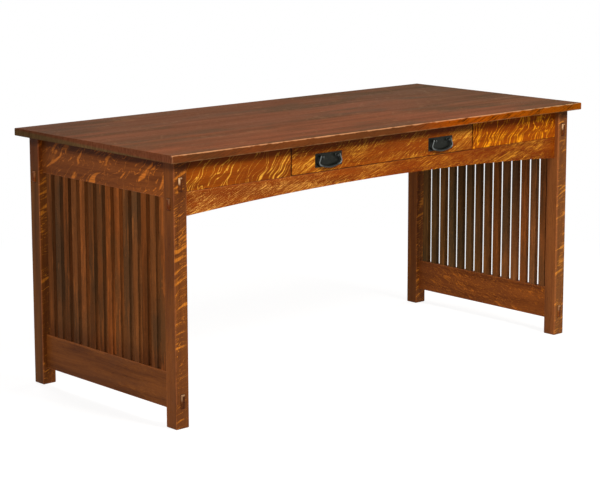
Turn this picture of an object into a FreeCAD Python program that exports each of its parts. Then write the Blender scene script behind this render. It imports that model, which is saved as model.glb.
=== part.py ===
"""Library desk in quartered oak: slatted ends, an arched front with one wide drawer, bail pulls.

The desk stands on the XY plane with its long side along X and its drawer facing -Y. The origin
is the middle of its footprint. Lengths are millimetres.
"""
import FreeCAD, Part
import os
import Sketcher

doc = FreeCAD.newDocument("library_desk")
sheet = doc.addObject("Spreadsheet::Sheet", "Sizes")

SLATS_PER_END = 14
FRONT_TAILS = 3
BACK_TAILS = 2
BUTTONS_PER_END = 3
SCREWS_PER_KICKER = 3
NUT_SIDES = 6
FORGED_SIDES = 8
FULL_TURN = 360
HALF_TURN = 180
QUARTER_TURN = 90
PARALLEL_SHARE = 0.999

# Each entry is a name, a length in millimetres and what it measures.
SIZES = [
    ("DeskLength", 1676.4, "overall length of the top"),
    ("DeskDepth", 736.6, "overall depth of the top"),
    ("DeskHeight", 762.0, "floor to writing surface"),
    ("TopThickness", 22.225, "thickness of the top boards"),
    ("TopEdgeRound", 2.4, "radius on the arrises of the top"),
    ("EndOverhang", 28.575, "top beyond the legs at each end"),
    ("FrontOverhang", 31.75, "top beyond the legs at front and back"),
    ("LegSize", 44.45, "side of a square leg"),
    ("LegEase", 1.6, "chamfer on the long arrises of a leg"),
    ("RailThickness", 15.875, "thickness of every rail and apron"),
    ("TenonThickness", 12.7, "thickness of the through tenons"),
    ("TenonProud", 4.8, "how far a through tenon stands out of the leg"),
    ("TenonBevel", 3.2, "bevel round the end of a through tenon"),
    ("UpperRailHeight", 106.0, "height of the upper side rail"),
    ("UpperTenonRise", 22.7, "lower edge of the upper side rail to its tenon"),
    ("LowerRailHeight", 101.6, "height of the lower side rail"),
    ("LowerRailClearance", 49.2, "floor to the lower side rail"),
    ("LowerTenonRise", 8.7, "lower edge of the lower side rail to its tenon"),
    ("SideTenonHeight", 38.1, "height of the side rails' tenons"),
    ("DrawerRowHeight", 88.9, "height of the row with the drawer"),
    ("FrontRailHeight", 66.7, "height of the arched front rail at its ends"),
    ("ArchRise", 26.2, "rise of the arched lower edge"),
    ("FrontTenonRise", 22.2, "lower end of the arch to the front rail's tenon"),
    ("FrontTenonHeight", 31.75, "height of the front rail's tenon"),
    ("StubTenonHeight", 50.8, "height of the stub tenons of the drawer row"),
    ("StubTenonThickness", 9.525, "thickness of the stub tenons"),
    ("StubTenonDepth", 9.525, "depth of the stub tenons in the leg"),
    ("EdgeEase", 1.2, "chamfer on the arrises of rails, panels and drawer front"),
    ("SlatWidth", 25.4, "width of a slat"),
    ("SlatThickness", 12.7, "thickness of a slat"),
    ("SlatTongueWidth", 19.05, "width of the tongue on a slat's end"),
    ("SlatTongueThickness", 6.35, "thickness of the tongue on a slat's end"),
    ("SlatTongueLength", 12.7, "length of the tongue on a slat's end"),
    ("GlueRelief", 0.5, "spare depth at the bottom of a blind mortise"),
    ("DrawerOpening", 751.5, "clear width between the fixed front panels"),
    ("DrawerSideGap", 1.5, "gap at each end of the drawer front"),
    ("DrawerBottomGap", 1.0, "gap under the drawer front"),
    ("DrawerTopGap", 2.0, "gap above the drawer front"),
    ("DrawerRearGap", 108.65, "drawer's back to the back apron"),
    ("CleatSetback", 98.4, "drawer front's back face to the stop cleat"),
    ("DrawerSideThickness", 12.7, "thickness of the drawer's sides"),
    ("DrawerBackThickness", 12.7, "thickness of the drawer's back"),
    ("DrawerBackDrop", 6.0, "drawer back below the top of the sides"),
    ("BottomThickness", 6.35, "thickness of the drawer's bottom"),
    ("BottomRise", 6.0, "lower edge of the sides to the bottom's groove"),
    ("BottomGrooveDepth", 6.35, "depth of the groove that holds the bottom"),
    ("DovetailLap", 4.8, "wood left in front of the lapped dovetails"),
    ("DovetailFlare", 1.8, "widening of a tail on each side"),
    ("RunningClearance", 0.3, "clearance between pieces that slide"),
    ("GuideClearance", 0.8, "drawer side to its guide"),
    ("KickerClearance", 1.0, "drawer side to the kicker above it"),
    ("RunnerLedgeWidth", 19.05, "width of a runner's ledge"),
    ("RunnerLedgeThickness", 19.05, "thickness of a runner's ledge"),
    ("RunnerGuideWidth", 19.05, "width of the guide on a runner"),
    ("RunnerGuideHeight", 38.1, "height of the guide above the ledge"),
    ("HousingDepth", 4.8, "depth of the housing that takes a runner's end"),
    ("KickerWidth", 25.4, "width of the kickers and the stop cleat"),
    ("KickerThickness", 12.7, "thickness of the kickers and the stop cleat"),
    ("KickerEndGap", 2.0, "kicker's front end to the drawer front"),
    ("StopBlockWidth", 60.0, "width of the block that stops the drawer"),
    ("StopBlockHeight", 48.0, "height of the block that stops the drawer"),
    ("StopBlockThickness", 12.7, "thickness of the block that stops the drawer"),
    ("StopBlockTopGap", 2.5, "stop block to the underside of the top"),
    ("ButtonGrooveDrop", 12.7, "underside of the top to the buttons' groove"),
    ("ButtonGrooveHeight", 6.35, "height of the buttons' groove"),
    ("ButtonGrooveDepth", 7.5, "depth of the buttons' groove"),
    ("ButtonTongueThickness", 5.5, "thickness of a button's tongue"),
    ("ButtonTongueLength", 8.0, "length of a button's tongue"),
    ("ButtonGap", 1.0, "button to the face of its rail"),
    ("ButtonLength", 34.0, "length of a button without its tongue"),
    ("ButtonWidth", 25.4, "width of a button"),
    ("ScrewLength", 28.0, "length of the screws in the top"),
    ("ScrewRadius", 2.1, "radius of a screw's shank"),
    ("ScrewHeadRadius", 4.2, "radius of a screw's sunk head"),
    ("ScrewHeadThickness", 3.0, "thickness of a screw's head"),
    ("PullPivotDrop", 45.0, "underside of the top to the bails' pivots"),
    ("PlateWidth", 104.0, "width of a pull's back plate"),
    ("PlateHeight", 40.0, "height of a pull's back plate"),
    ("PlateThickness", 2.0, "thickness of a pull's back plate"),
    ("PlateAbovePivot", 10.5, "pivot to the top edge of the plate"),
    ("PlateCornerRound", 1.6, "corner radius of the plate"),
    ("PlateBevel", 0.8, "bevel round the face of the plate"),
    ("PostSpacing", 57.15, "post to post of one pull"),
    ("PostShankRadius", 2.4, "radius of a post's threaded shank"),
    ("PostHoleClearance", 0.3, "clearance round a post's shank"),
    ("PostCollarRadius", 5.6, "radius of a post's collar"),
    ("PostCollarThickness", 1.2, "thickness of a post's collar"),
    ("PostNeckRadius", 3.2, "radius of a post's neck"),
    ("PostHeadRadius", 4.4, "radius of a post's head"),
    ("PostHeadBevel", 0.9, "bevel round both ends of a post's head"),
    ("PivotStandOff", 6.5, "face of the plate to the bail's pivot"),
    ("NutRadius", 5.2, "corner radius of the nuts on the posts"),
    ("NutThickness", 4.0, "thickness of the nuts on the posts"),
    ("ShankBeyondNut", 1.5, "post's shank beyond its nut"),
    ("BailRodRadius", 3.2, "radius of the bail's rod"),
    ("BailPinRadius", 1.7, "radius of the bail's pins"),
    ("BailPinClearance", 0.3, "clearance of the pins in the posts"),
    ("BailSideGap", 0.5, "post's head to the bail's arm"),
    ("BailEyeRise", 3.0, "pivot to the upper end of the bail's arm"),
    ("BailDrop", 30.0, "pivot to the bail's lowest centre line"),
    ("BailWidth", 87.0, "widest part of the bail, across its centre lines"),
    ("BailCornerRadius", 8.0, "centre-line radius of the bail's corners"),
    ("BailSweepRadius", 100.0, "centre-line radius of the bail's hand grip"),
    ("Overrun", 1.0, "how far a cutting shape runs past the wood"),
]

# Shares are parts of the size that they follow, and have no unit.
SHARES = [
    ("PullShare", 0.617, "pull to pull as a share of the drawer's opening"),
    ("TailShare", 0.68, "width of a tail as a share of its pitch"),
    ("EndButtonShare", 0.34, "end rails' outer buttons, share of the clear depth"),
    ("BackButtonShare", 0.36, "back apron's outer buttons, share of the clear length"),
    ("FrontButtonShare", 0.5, "front panels' buttons, share of the panel's length"),
    ("KickerScrewShare", 0.4, "outer kicker screws, share of the kicker's length"),
    ("CleatScrewShare", 0.28, "stop cleat's screws, share of its length"),
]

# Widths of the six boards of the top, front to back, as shares of its depth.
BOARD_SHARES = [0.17, 0.19, 0.15, 0.16, 0.18, 0.15]

DERIVED = [
    ("LegTop", "DeskHeight - TopThickness"),
    ("LegCentreX", "DeskLength / 2 - EndOverhang - LegSize / 2"),
    ("LegCentreY", "DeskDepth / 2 - FrontOverhang - LegSize / 2"),
    ("LegInnerX", "LegCentreX - LegSize / 2"),
    ("LegInnerY", "LegCentreY - LegSize / 2"),
    ("TenonReach", "LegSize + TenonProud"),
    ("RowBottom", "LegTop - DrawerRowHeight"),
    ("FrontRailBottom", "RowBottom - FrontRailHeight"),
    ("FrontTenonBottom", "FrontRailBottom + FrontTenonRise"),
    ("StubTenonBottom", "RowBottom + (DrawerRowHeight - StubTenonHeight) / 2"),
    ("UpperRailBottom", "LegTop - UpperRailHeight"),
    ("UpperTenonBottom", "UpperRailBottom + UpperTenonRise"),
    ("LowerRailTop", "LowerRailClearance + LowerRailHeight"),
    ("LowerTenonBottom", "LowerRailClearance + LowerTenonRise"),
    ("RailFaceY", "LegCentreY + RailThickness / 2"),
    ("RailBackY", "LegCentreY - RailThickness / 2"),
    ("SlatLength", "UpperRailBottom - LowerRailTop"),
    ("SlatGap", "(2 * LegInnerY - %d * SlatWidth) / %d" % (SLATS_PER_END, SLATS_PER_END + 1)),
    ("SlatPitch", "SlatWidth + SlatGap"),
    ("FirstSlatY", "-LegInnerY + SlatGap + SlatWidth / 2"),
    ("ArchRadius", "(LegInnerX * LegInnerX + ArchRise * ArchRise) / (2 * ArchRise)"),
    ("PanelInnerX", "DrawerOpening / 2"),
    ("DrawerHalfWidth", "PanelInnerX - DrawerSideGap"),
    ("DrawerInnerX", "DrawerHalfWidth - DrawerSideThickness"),
    ("DrawerFrontBottom", "RowBottom + DrawerBottomGap"),
    ("DrawerFrontTop", "LegTop - DrawerTopGap"),
    ("DrawerSideBottom", "RowBottom + RunningClearance"),
    ("DrawerSideTop", "LegTop - KickerThickness - KickerClearance"),
    ("DrawerRearY", "RailBackY - DrawerRearGap"),
    ("DrawerBackFaceY", "DrawerRearY - DrawerBackThickness"),
    ("BottomUnderside", "DrawerSideBottom + BottomRise"),
    ("BottomTop", "BottomUnderside + BottomThickness"),
    ("DrawerBackTop", "DrawerSideTop - DrawerBackDrop"),
    ("TailEndY", "-RailFaceY + DovetailLap"),
    ("GuideX", "DrawerHalfWidth + GuideClearance"),
    ("LedgeInnerX", "GuideX - RunnerLedgeWidth"),
    ("KickerBottom", "LegTop - KickerThickness"),
    ("KickerFrontY", "-RailBackY + KickerEndGap"),
    ("KickerOuterX", "LedgeInnerX + KickerWidth"),
    ("CleatFrontY", "-RailBackY + CleatSetback"),
    ("CleatRearY", "CleatFrontY + KickerWidth"),
    ("StopBlockTop", "LegTop - StopBlockTopGap"),
    ("ButtonBottom", "LegTop - ButtonGrooveDrop - ButtonTongueThickness"),
    ("ButtonGrooveBottom", "LegTop - ButtonGrooveDrop - ButtonGrooveHeight"),
    ("PullSpacing", "PullShare * DrawerOpening"),
    ("PullZ", "LegTop - PullPivotDrop"),
    ("PlateFaceY", "-RailFaceY - PlateThickness"),
    ("PivotY", "PlateFaceY - PivotStandOff"),
    ("BailArmX", "PostSpacing / 2 + PostHeadRadius + BailSideGap + BailRodRadius"),
    ("GripCentreZ", "BailSweepRadius - BailDrop"),
    ("BailCornerX", "BailWidth / 2 - BailCornerRadius"),
    ("BailCornerZ", "GripCentreZ - sqrt((BailSweepRadius - BailCornerRadius)^2 - BailCornerX^2)"),
    ("GripStretch", "BailSweepRadius / (BailSweepRadius - BailCornerRadius)"),
    ("GripEndX", "BailCornerX * GripStretch"),
    ("GripEndZ", "GripCentreZ + (BailCornerZ - GripCentreZ) * GripStretch"),
    ("ArmSpan", "sqrt((BailArmX - BailCornerX)^2 + (BailEyeRise - BailCornerZ)^2)"),
    ("ArmLeanX", "(BailArmX - BailCornerX) / ArmSpan"),
    ("ArmLeanZ", "(BailEyeRise - BailCornerZ) / ArmSpan"),
    ("ArmTouch", "BailCornerRadius * sqrt(1 - (BailCornerRadius / ArmSpan)^2)"),
    ("ArmEndX", "BailCornerX + BailCornerRadius^2 / ArmSpan * ArmLeanX + ArmTouch * ArmLeanZ"),
    ("ArmEndZ", "BailCornerZ + BailCornerRadius^2 / ArmSpan * ArmLeanZ - ArmTouch * ArmLeanX"),
]

for row, (alias, number, note) in enumerate(SIZES + SHARES, start=1):
    sheet.set("A%d" % row, note)
    sheet.set("B%d" % row, str(number))
    sheet.setAlias("B%d" % row, alias)
for row, (alias, formula) in enumerate(DERIVED, start=len(SIZES) + len(SHARES) + 1):
    sheet.set("A%d" % row, formula)
    sheet.set("B%d" % row, "=" + formula)
    sheet.setAlias("B%d" % row, alias)
doc.recompute()

NAMES = {entry[0] for entry in SIZES + SHARES + DERIVED}


def linked(formula):
    """The formula with every size's name pointed at the sheet."""
    words = []
    word = ""
    for letter in formula + " ":
        if letter.isalnum():
            word += letter
        else:
            words.append("Sizes." + word if word in NAMES else word)
            words.append(letter)
            word = ""
    return "".join(words).strip()


def value(formula):
    """The number that a formula gives now."""
    return float(sheet.evalExpression(linked(formula)))


def bind(item, **formulas):
    """Bind each property to a formula; a double underscore stands for a dot."""
    for name, formula in formulas.items():
        item.setExpression(name.replace("__", "."), linked(formula))


def new_body(name):
    body = doc.addObject("PartDesign::Body", name)
    body.Label = name
    return body


def origin_feature(body, role):
    for feature in body.Origin.OriginFeatures:
        if feature.Role == role:
            return feature
    raise ValueError("no " + role)


def box(body, name, low, high, cuts=False):
    """A box between two corners, added to the body or cut from it."""
    kind = "PartDesign::SubtractiveBox" if cuts else "PartDesign::AdditiveBox"
    item = body.newObject(kind, name)
    spans = ["(%s) - (%s)" % (far, near) for near, far in zip(low, high)]
    bind(item, Length=spans[0], Width=spans[1], Height=spans[2])
    bind(item, Placement__Base__x=low[0], Placement__Base__y=low[1], Placement__Base__z=low[2])
    return item


def cylinder(body, name, centre, direction, radius, length, cuts=False):
    """A cylinder from a centre along a direction, added to the body or cut from it."""
    kind = "PartDesign::SubtractiveCylinder" if cuts else "PartDesign::AdditiveCylinder"
    item = body.newObject(kind, name)
    turn = FreeCAD.Rotation(FreeCAD.Vector(0, 0, 1), FreeCAD.Vector(*direction))
    item.Placement = FreeCAD.Placement(FreeCAD.Vector(), turn)
    bind(item, Radius=radius, Height=length)
    bind(item, Placement__Base__x=centre[0], Placement__Base__y=centre[1], Placement__Base__z=centre[2])
    return item


def prism(body, name, centre, direction, radius, length, sides=FORGED_SIDES, cuts=False):
    """A regular prism from a centre along a direction, added to the body or cut from it."""
    kind = "PartDesign::SubtractivePrism" if cuts else "PartDesign::AdditivePrism"
    item = body.newObject(kind, name)
    item.Polygon = sides
    upright = FreeCAD.Vector(0, 0, 1)
    turn = FreeCAD.Rotation(upright, FreeCAD.Vector(*direction))
    flat_side = FreeCAD.Rotation(upright, HALF_TURN / sides)
    item.Placement = FreeCAD.Placement(FreeCAD.Vector(), turn.multiply(flat_side))
    bind(item, Circumradius=radius, Height=length)
    bind(item, Placement__Base__x=centre[0], Placement__Base__y=centre[1], Placement__Base__z=centre[2])
    return item


def new_sketch(body, role, name, offset=None):
    sketch = body.newObject("Sketcher::SketchObject", name)
    sketch.AttachmentSupport = [(origin_feature(body, role), "")]
    sketch.MapMode = "FlatFace"
    if offset:
        bind(sketch, AttachmentOffset__Base__z=offset)
    return sketch


def hold_point(sketch, edge, end, point):
    """Fix an edge's end at a pair of formulas, measured from the sketch's own axes."""
    for axis, kind, formula in ((-2, "DistanceX", point[0]), (-1, "DistanceY", point[1])):
        if formula == "0":
            sketch.addConstraint(Sketcher.Constraint("PointOnObject", edge, end, axis))
            continue
        rule = Sketcher.Constraint(kind, -1, 1, edge, end, value(formula))
        index = sketch.addConstraint(rule)
        sketch.setExpression("Constraints[%d]" % index, linked(formula))


def draw(sketch, points, arcs=None, closed=True):
    """Draw straight edges and arcs through the points.

    Each point is a pair of formulas. arcs maps the number of an edge to the formulas of a
    point that its arc passes and of its radius.
    """
    arcs = arcs or {}
    places = [FreeCAD.Vector(value(x), value(y), 0) for x, y in points]
    count = len(points) if closed else len(points) - 1
    edges = []
    for number in range(count):
        start = places[number]
        end = places[(number + 1) % len(places)]
        if number in arcs:
            middle_x, middle_y, radius = arcs[number]
            middle = FreeCAD.Vector(value(middle_x), value(middle_y), 0)
            curve = Part.ArcOfCircle(start, middle, end)
            edge = sketch.addGeometry(curve, False)
            first_end = sketch.getPoint(edge, 1)
            runs_forward = first_end.distanceToPoint(start) < first_end.distanceToPoint(end)
            edges.append((edge, 1, 2) if runs_forward else (edge, 2, 1))
            index = sketch.addConstraint(Sketcher.Constraint("Radius", edge, curve.Radius))
            sketch.setExpression("Constraints[%d]" % index, linked(radius))
        else:
            edges.append((sketch.addGeometry(Part.LineSegment(start, end), False), 1, 2))
    for number in range(count):
        edge, start_end, far_end = edges[number]
        hold_point(sketch, edge, start_end, points[number])
        if number + 1 < count or closed:
            following = edges[(number + 1) % count]
            rule = Sketcher.Constraint("Coincident", edge, far_end, following[0], following[1])
            sketch.addConstraint(rule)
    if not closed:
        hold_point(sketch, edges[-1][0], edges[-1][2], points[-1])
    return sketch


def extrude(body, name, sketch, length, cuts=False, middle=False):
    """Pad or pocket a sketch by a length, from its plane or to both sides of it."""
    item = body.newObject("PartDesign::Pocket" if cuts else "PartDesign::Pad", name)
    item.Profile = sketch
    item.SideType = "Symmetric" if middle else "One side"
    bind(item, Length=length)
    return item


def rectangle(low, high):
    return [low, (high[0], low[1]), high, (low[0], high[1])]


def edges_of(shape, wanted):
    """Names of the straight edges whose middle and direction pass a test."""
    names = []
    for number, edge in enumerate(shape.Edges, start=1):
        if edge.Curve.TypeId != "Part::GeomLine":
            continue
        start, end = (vertex.Point for vertex in edge.Vertexes)
        if wanted((start + end) * 0.5, (end - start).normalize()):
            names.append("Edge%d" % number)
    return names


def dress(body, kind, name, size, wanted):
    """Chamfer or fillet the edges of the body that pass a test."""
    doc.recompute()
    base = body.Tip
    item = body.newObject("PartDesign::" + kind, name)
    item.Base = (base, edges_of(base.Shape, wanted))
    bind(item, **{"Size" if kind == "Chamfer" else "Radius": size})
    return item


def ease_long_edges(body, along, lies_on):
    """Chamfer the arrises that run along an axis and lie where the test says."""
    wanted = lambda middle, way: runs_along(way, along) and lies_on(middle)
    return dress(body, "Chamfer", "eased_arrises", "EdgeEase", wanted)


def near(first, second):
    return abs(first - second) < value("RunningClearance")


def runs_along(way, axis):
    return abs(way.dot(FreeCAD.Vector(*axis))) > PARALLEL_SHARE


def in_order(first, second):
    """Two formulas, the one with the lower value first."""
    return (first, second) if value(first) < value(second) else (second, first)


def put(body, x="0", y="0", z="0", turn=0):
    """Place a body that was drawn about its own origin, turned about the upright axis."""
    body.Placement = FreeCAD.Placement(FreeCAD.Vector(), FreeCAD.Rotation(FreeCAD.Vector(0, 0, 1), turn))
    bind(body, Placement__Base__x=x, Placement__Base__y=y, Placement__Base__z=z)
    return body


def group(name, shapes):
    """One node that holds several separate solids."""
    item = doc.addObject("Part::Feature", name)
    item.Label = name
    item.Shape = Part.makeCompound(shapes)
    return item


def make_leg(name, x, y, turn):
    """A square leg, drawn with its inner face towards +X."""
    leg = new_body(name)
    half = "LegSize / 2"
    section = draw(new_sketch(leg, "XY_Plane", name + "_section"),
                   rectangle(("-" + half, "-" + half), (half, half)))
    extrude(leg, "post", section, "LegTop")
    upright = lambda middle, way: runs_along(way, (0, 0, 1))
    dress(leg, "Chamfer", "leg_arrises", "LegEase", upright)
    at_foot = lambda middle, way: near(middle.z, 0)
    dress(leg, "Chamfer", "foot_arris", "LegEase", at_foot)
    cheek = "TenonThickness / 2"
    mortises = new_sketch(leg, "XZ_Plane", "side_rail_mortises")
    for bottom in ("UpperTenonBottom", "LowerTenonBottom"):
        draw(mortises, rectangle(("-" + cheek, bottom), (cheek, bottom + " + SideTenonHeight")))
    extrude(leg, "side_mortises", mortises, "LegSize + Overrun", cuts=True, middle=True)
    mortise = draw(new_sketch(leg, "YZ_Plane", "front_rail_mortise"),
                   rectangle(("-" + cheek, "FrontTenonBottom"),
                             (cheek, "FrontTenonBottom + FrontTenonHeight")))
    extrude(leg, "front_mortise", mortise, "LegSize + Overrun", cuts=True, middle=True)
    box(leg, "stub_mortise",
        (half + " - StubTenonDepth - GlueRelief", "-StubTenonThickness / 2", "StubTenonBottom"),
        (half + " + Overrun", "StubTenonThickness / 2", "StubTenonBottom + StubTenonHeight"),
        cuts=True)
    return put(leg, x, y, turn=turn)


def make_side_rail(name, side, bottom, height, tenon_bottom, slats_enter_from_top):
    """A side rail with a proud, bevelled tenon through the leg at each end, and slat mortises."""
    rail = new_body(name)
    top = bottom + " + " + height
    box(rail, "board", ("-RailThickness / 2", "-LegInnerY", bottom),
        ("RailThickness / 2", "LegInnerY", top))
    open_edges = [bottom, top] if slats_enter_from_top else [bottom]
    ease_long_edges(rail, (0, 1, 0),
                    lambda middle: any(near(middle.z, value(edge)) for edge in open_edges))
    reach = "LegInnerY + TenonReach"
    box(rail, "tenons", ("-TenonThickness / 2", "-(%s)" % reach, tenon_bottom),
        ("TenonThickness / 2", reach, tenon_bottom + " + SideTenonHeight"))
    at_end = lambda middle, way: near(abs(middle.y), value(reach))
    dress(rail, "Chamfer", "tenon_bevels", "TenonBevel", at_end)
    if slats_enter_from_top:
        low, high = top + " - SlatTongueLength - GlueRelief", top + " + Overrun"
    else:
        low, high = bottom + " - Overrun", bottom + " + SlatTongueLength + GlueRelief"
        near_x, far_x = in_order("%d * (RailThickness / 2 + Overrun)" % -side,
                                 "%d * (RailThickness / 2 - ButtonGrooveDepth)" % -side)
        box(rail, "button_groove", (near_x, "-LegInnerY", "ButtonGrooveBottom"),
            (far_x, "LegInnerY", "ButtonGrooveBottom + ButtonGrooveHeight"), cuts=True)
    first = box(rail, "slat_mortise",
                ("-SlatTongueThickness / 2", "FirstSlatY - SlatTongueWidth / 2", low),
                ("SlatTongueThickness / 2", "FirstSlatY + SlatTongueWidth / 2", high), cuts=True)
    row = rail.newObject("PartDesign::LinearPattern", "slat_mortises")
    row.Originals = [first]
    row.Direction = (origin_feature(rail, "Y_Axis"), [""])
    row.Occurrences = SLATS_PER_END
    bind(row, Length="SlatPitch * %d" % (SLATS_PER_END - 1))
    rail.Tip = row
    return put(rail, "%d * LegCentreX" % side)


def make_slat(name, side, number):
    """A flat slat with a tongue on each end."""
    slat = new_body(name)
    box(slat, "stick", ("-SlatThickness / 2", "-SlatWidth / 2", "0"),
        ("SlatThickness / 2", "SlatWidth / 2", "SlatLength"))
    box(slat, "tongues", ("-SlatTongueThickness / 2", "-SlatTongueWidth / 2", "-SlatTongueLength"),
        ("SlatTongueThickness / 2", "SlatTongueWidth / 2", "SlatLength + SlatTongueLength"))
    place = "FirstSlatY + %d * SlatPitch" % number
    return put(slat, "%d * LegCentreX" % side, place, "LowerRailTop")


def arch_outline(top):
    """A rail between the legs whose lower edge is one arc."""
    points = [("-LegInnerX", "FrontRailBottom"), ("LegInnerX", "FrontRailBottom"),
              ("LegInnerX", top), ("-LegInnerX", top)]
    return points, {0: ("0", "FrontRailBottom + ArchRise", "ArchRadius")}


def through_tenons(rail):
    """Tenons that pass through the legs at both ends and stand proud, with bevelled ends."""
    reach = "LegInnerX + TenonReach"
    for side in (-1, 1):
        near_x, far_x = in_order("%d * LegInnerX" % side, "%d * (%s)" % (side, reach))
        box(rail, "tenon", (near_x, "-TenonThickness / 2", "FrontTenonBottom"),
            (far_x, "TenonThickness / 2", "FrontTenonBottom + FrontTenonHeight"))
    at_end = lambda middle, way: near(abs(middle.x), value(reach))
    dress(rail, "Chamfer", "tenon_bevels", "TenonBevel", at_end)


def runner_housings(rail):
    """Housings for the ends of the two runners, cut from the rail's inner face, +Y."""
    for side in (-1, 1):
        near_x, far_x = in_order("%d * LedgeInnerX" % side,
                                 "%d * (GuideX + RunnerGuideWidth)" % side)
        box(rail, "runner_housing",
            (near_x, "RailThickness / 2 - HousingDepth", "RowBottom - RunnerLedgeThickness"),
            (far_x, "RailThickness / 2 + Overrun", "RowBottom"), cuts=True)


def make_front_rail():
    rail = new_body("front_rail")
    points, arcs = arch_outline("RowBottom")
    board = draw(new_sketch(rail, "XZ_Plane", "arched_board"), points, arcs)
    extrude(rail, "board", board, "RailThickness", middle=True)
    through_tenons(rail)
    runner_housings(rail)
    return put(rail, y="-LegCentreY")


def make_back_apron():
    """One wide board at the back, with the front rail's arch and tenons, drawn facing +Y inwards."""
    apron = new_body("back_apron")
    points, arcs = arch_outline("LegTop")
    board = draw(new_sketch(apron, "XZ_Plane", "arched_board"), points, arcs)
    extrude(apron, "board", board, "RailThickness", middle=True)
    through_tenons(apron)
    box(apron, "stub_tenons",
        ("-LegInnerX - StubTenonDepth", "-StubTenonThickness / 2", "StubTenonBottom"),
        ("LegInnerX + StubTenonDepth", "StubTenonThickness / 2", "StubTenonBottom + StubTenonHeight"))
    runner_housings(apron)
    box(apron, "button_groove",
        ("-LegInnerX", "RailThickness / 2 - ButtonGrooveDepth", "ButtonGrooveBottom"),
        ("LegInnerX", "RailThickness / 2 + Overrun", "ButtonGrooveBottom + ButtonGrooveHeight"),
        cuts=True)
    return put(apron, y="LegCentreY", turn=HALF_TURN)


def make_front_panel(name, side):
    """A fixed panel beside the drawer, with a stub tenon in the leg."""
    panel = new_body(name)
    board = in_order("%d * PanelInnerX" % side, "%d * LegInnerX" % side)
    stub = in_order("%d * PanelInnerX" % side, "%d * (LegInnerX + StubTenonDepth)" % side)
    box(panel, "board", (board[0], "-RailThickness / 2", "RowBottom"),
        (board[1], "RailThickness / 2", "LegTop"))
    ease_long_edges(panel, (0, 0, 1),
                    lambda middle: near(abs(middle.x), value("PanelInnerX")) and middle.y < 0)
    box(panel, "stub_tenon", (stub[0], "-StubTenonThickness / 2", "StubTenonBottom"),
        (stub[1], "StubTenonThickness / 2", "StubTenonBottom + StubTenonHeight"))
    box(panel, "button_groove",
        (board[0], "RailThickness / 2 - ButtonGrooveDepth", "ButtonGrooveBottom"),
        (board[1], "RailThickness / 2 + Overrun", "ButtonGrooveBottom + ButtonGrooveHeight"),
        cuts=True)
    return put(panel, y="-LegCentreY")


def tail_points(shoulder, end, bottom, top, count):
    """Outline points of a row of tails, from the bottom up, from a shoulder line to the tails' end."""
    pitch = "((%s) - (%s)) / %d" % (top, bottom, count)
    half = "TailShare / 2 * " + pitch
    points = []
    for number in range(count):
        centre = "%s + (2 * %d + 1) / 2 * %s" % (bottom, number, pitch)
        narrow = "(%s - DovetailFlare)" % half
        points += [(shoulder, "%s - %s" % (centre, narrow)), (end, "%s - %s" % (centre, half)),
                   (end, "%s + %s" % (centre, half)), (shoulder, "%s + %s" % (centre, narrow))]
    return points


def tail_sockets(body, name, shoulder, end, bottom, top, count, overrun_shoulder):
    """Sockets for the tails, cut into both ends of a board as deep as the drawer's sides."""
    points = tail_points(shoulder, end, bottom, top, count)
    for side in (-1, 1):
        offset = "%d * (DrawerHalfWidth - DrawerSideThickness / 2)" % side
        sketch = new_sketch(body, "YZ_Plane", name + "_outline", offset)
        for number in range(count):
            low_in, low_out, high_out, high_in = points[4 * number:4 * number + 4]
            if overrun_shoulder:
                mouth = shoulder + " + Overrun"
                draw(sketch, [(mouth, low_in[1]), low_in, low_out, high_out, high_in, (mouth, high_in[1])])
            else:
                draw(sketch, [low_in, low_out, high_out, high_in])
        extrude(body, name, sketch, "DrawerSideThickness", cuts=True, middle=True)


def make_drawer_front():
    """The drawer's front, flush with the fixed panels, with sockets for lapped dovetails."""
    front = new_body("drawer_front")
    box(front, "board", ("-DrawerHalfWidth", "-RailFaceY", "DrawerFrontBottom"),
        ("DrawerHalfWidth", "-RailBackY", "DrawerFrontTop"))
    on_face = lambda middle, way: near(middle.y, value("-RailFaceY"))
    dress(front, "Chamfer", "face_arrises", "EdgeEase", on_face)
    tail_sockets(front, "tail_socket", "-RailBackY", "TailEndY", "DrawerSideBottom", "DrawerSideTop",
                 FRONT_TAILS, overrun_shoulder=True)
    box(front, "bottom_groove",
        ("-DrawerInnerX - BottomGrooveDepth", "-RailBackY - BottomGrooveDepth", "BottomUnderside"),
        ("DrawerInnerX + BottomGrooveDepth", "-RailBackY + Overrun", "BottomTop"), cuts=True)
    for pull in (-1, 1):
        for post in (-1, 1):
            place = "%d * PullSpacing / 2 + %d * PostSpacing / 2" % (pull, post)
            cylinder(front, "post_hole", (place, "-RailFaceY - Overrun", "PullZ"), (0, 1, 0),
                     "PostShankRadius + PostHoleClearance", "RailThickness + 2 * Overrun", cuts=True)
    return front


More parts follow.
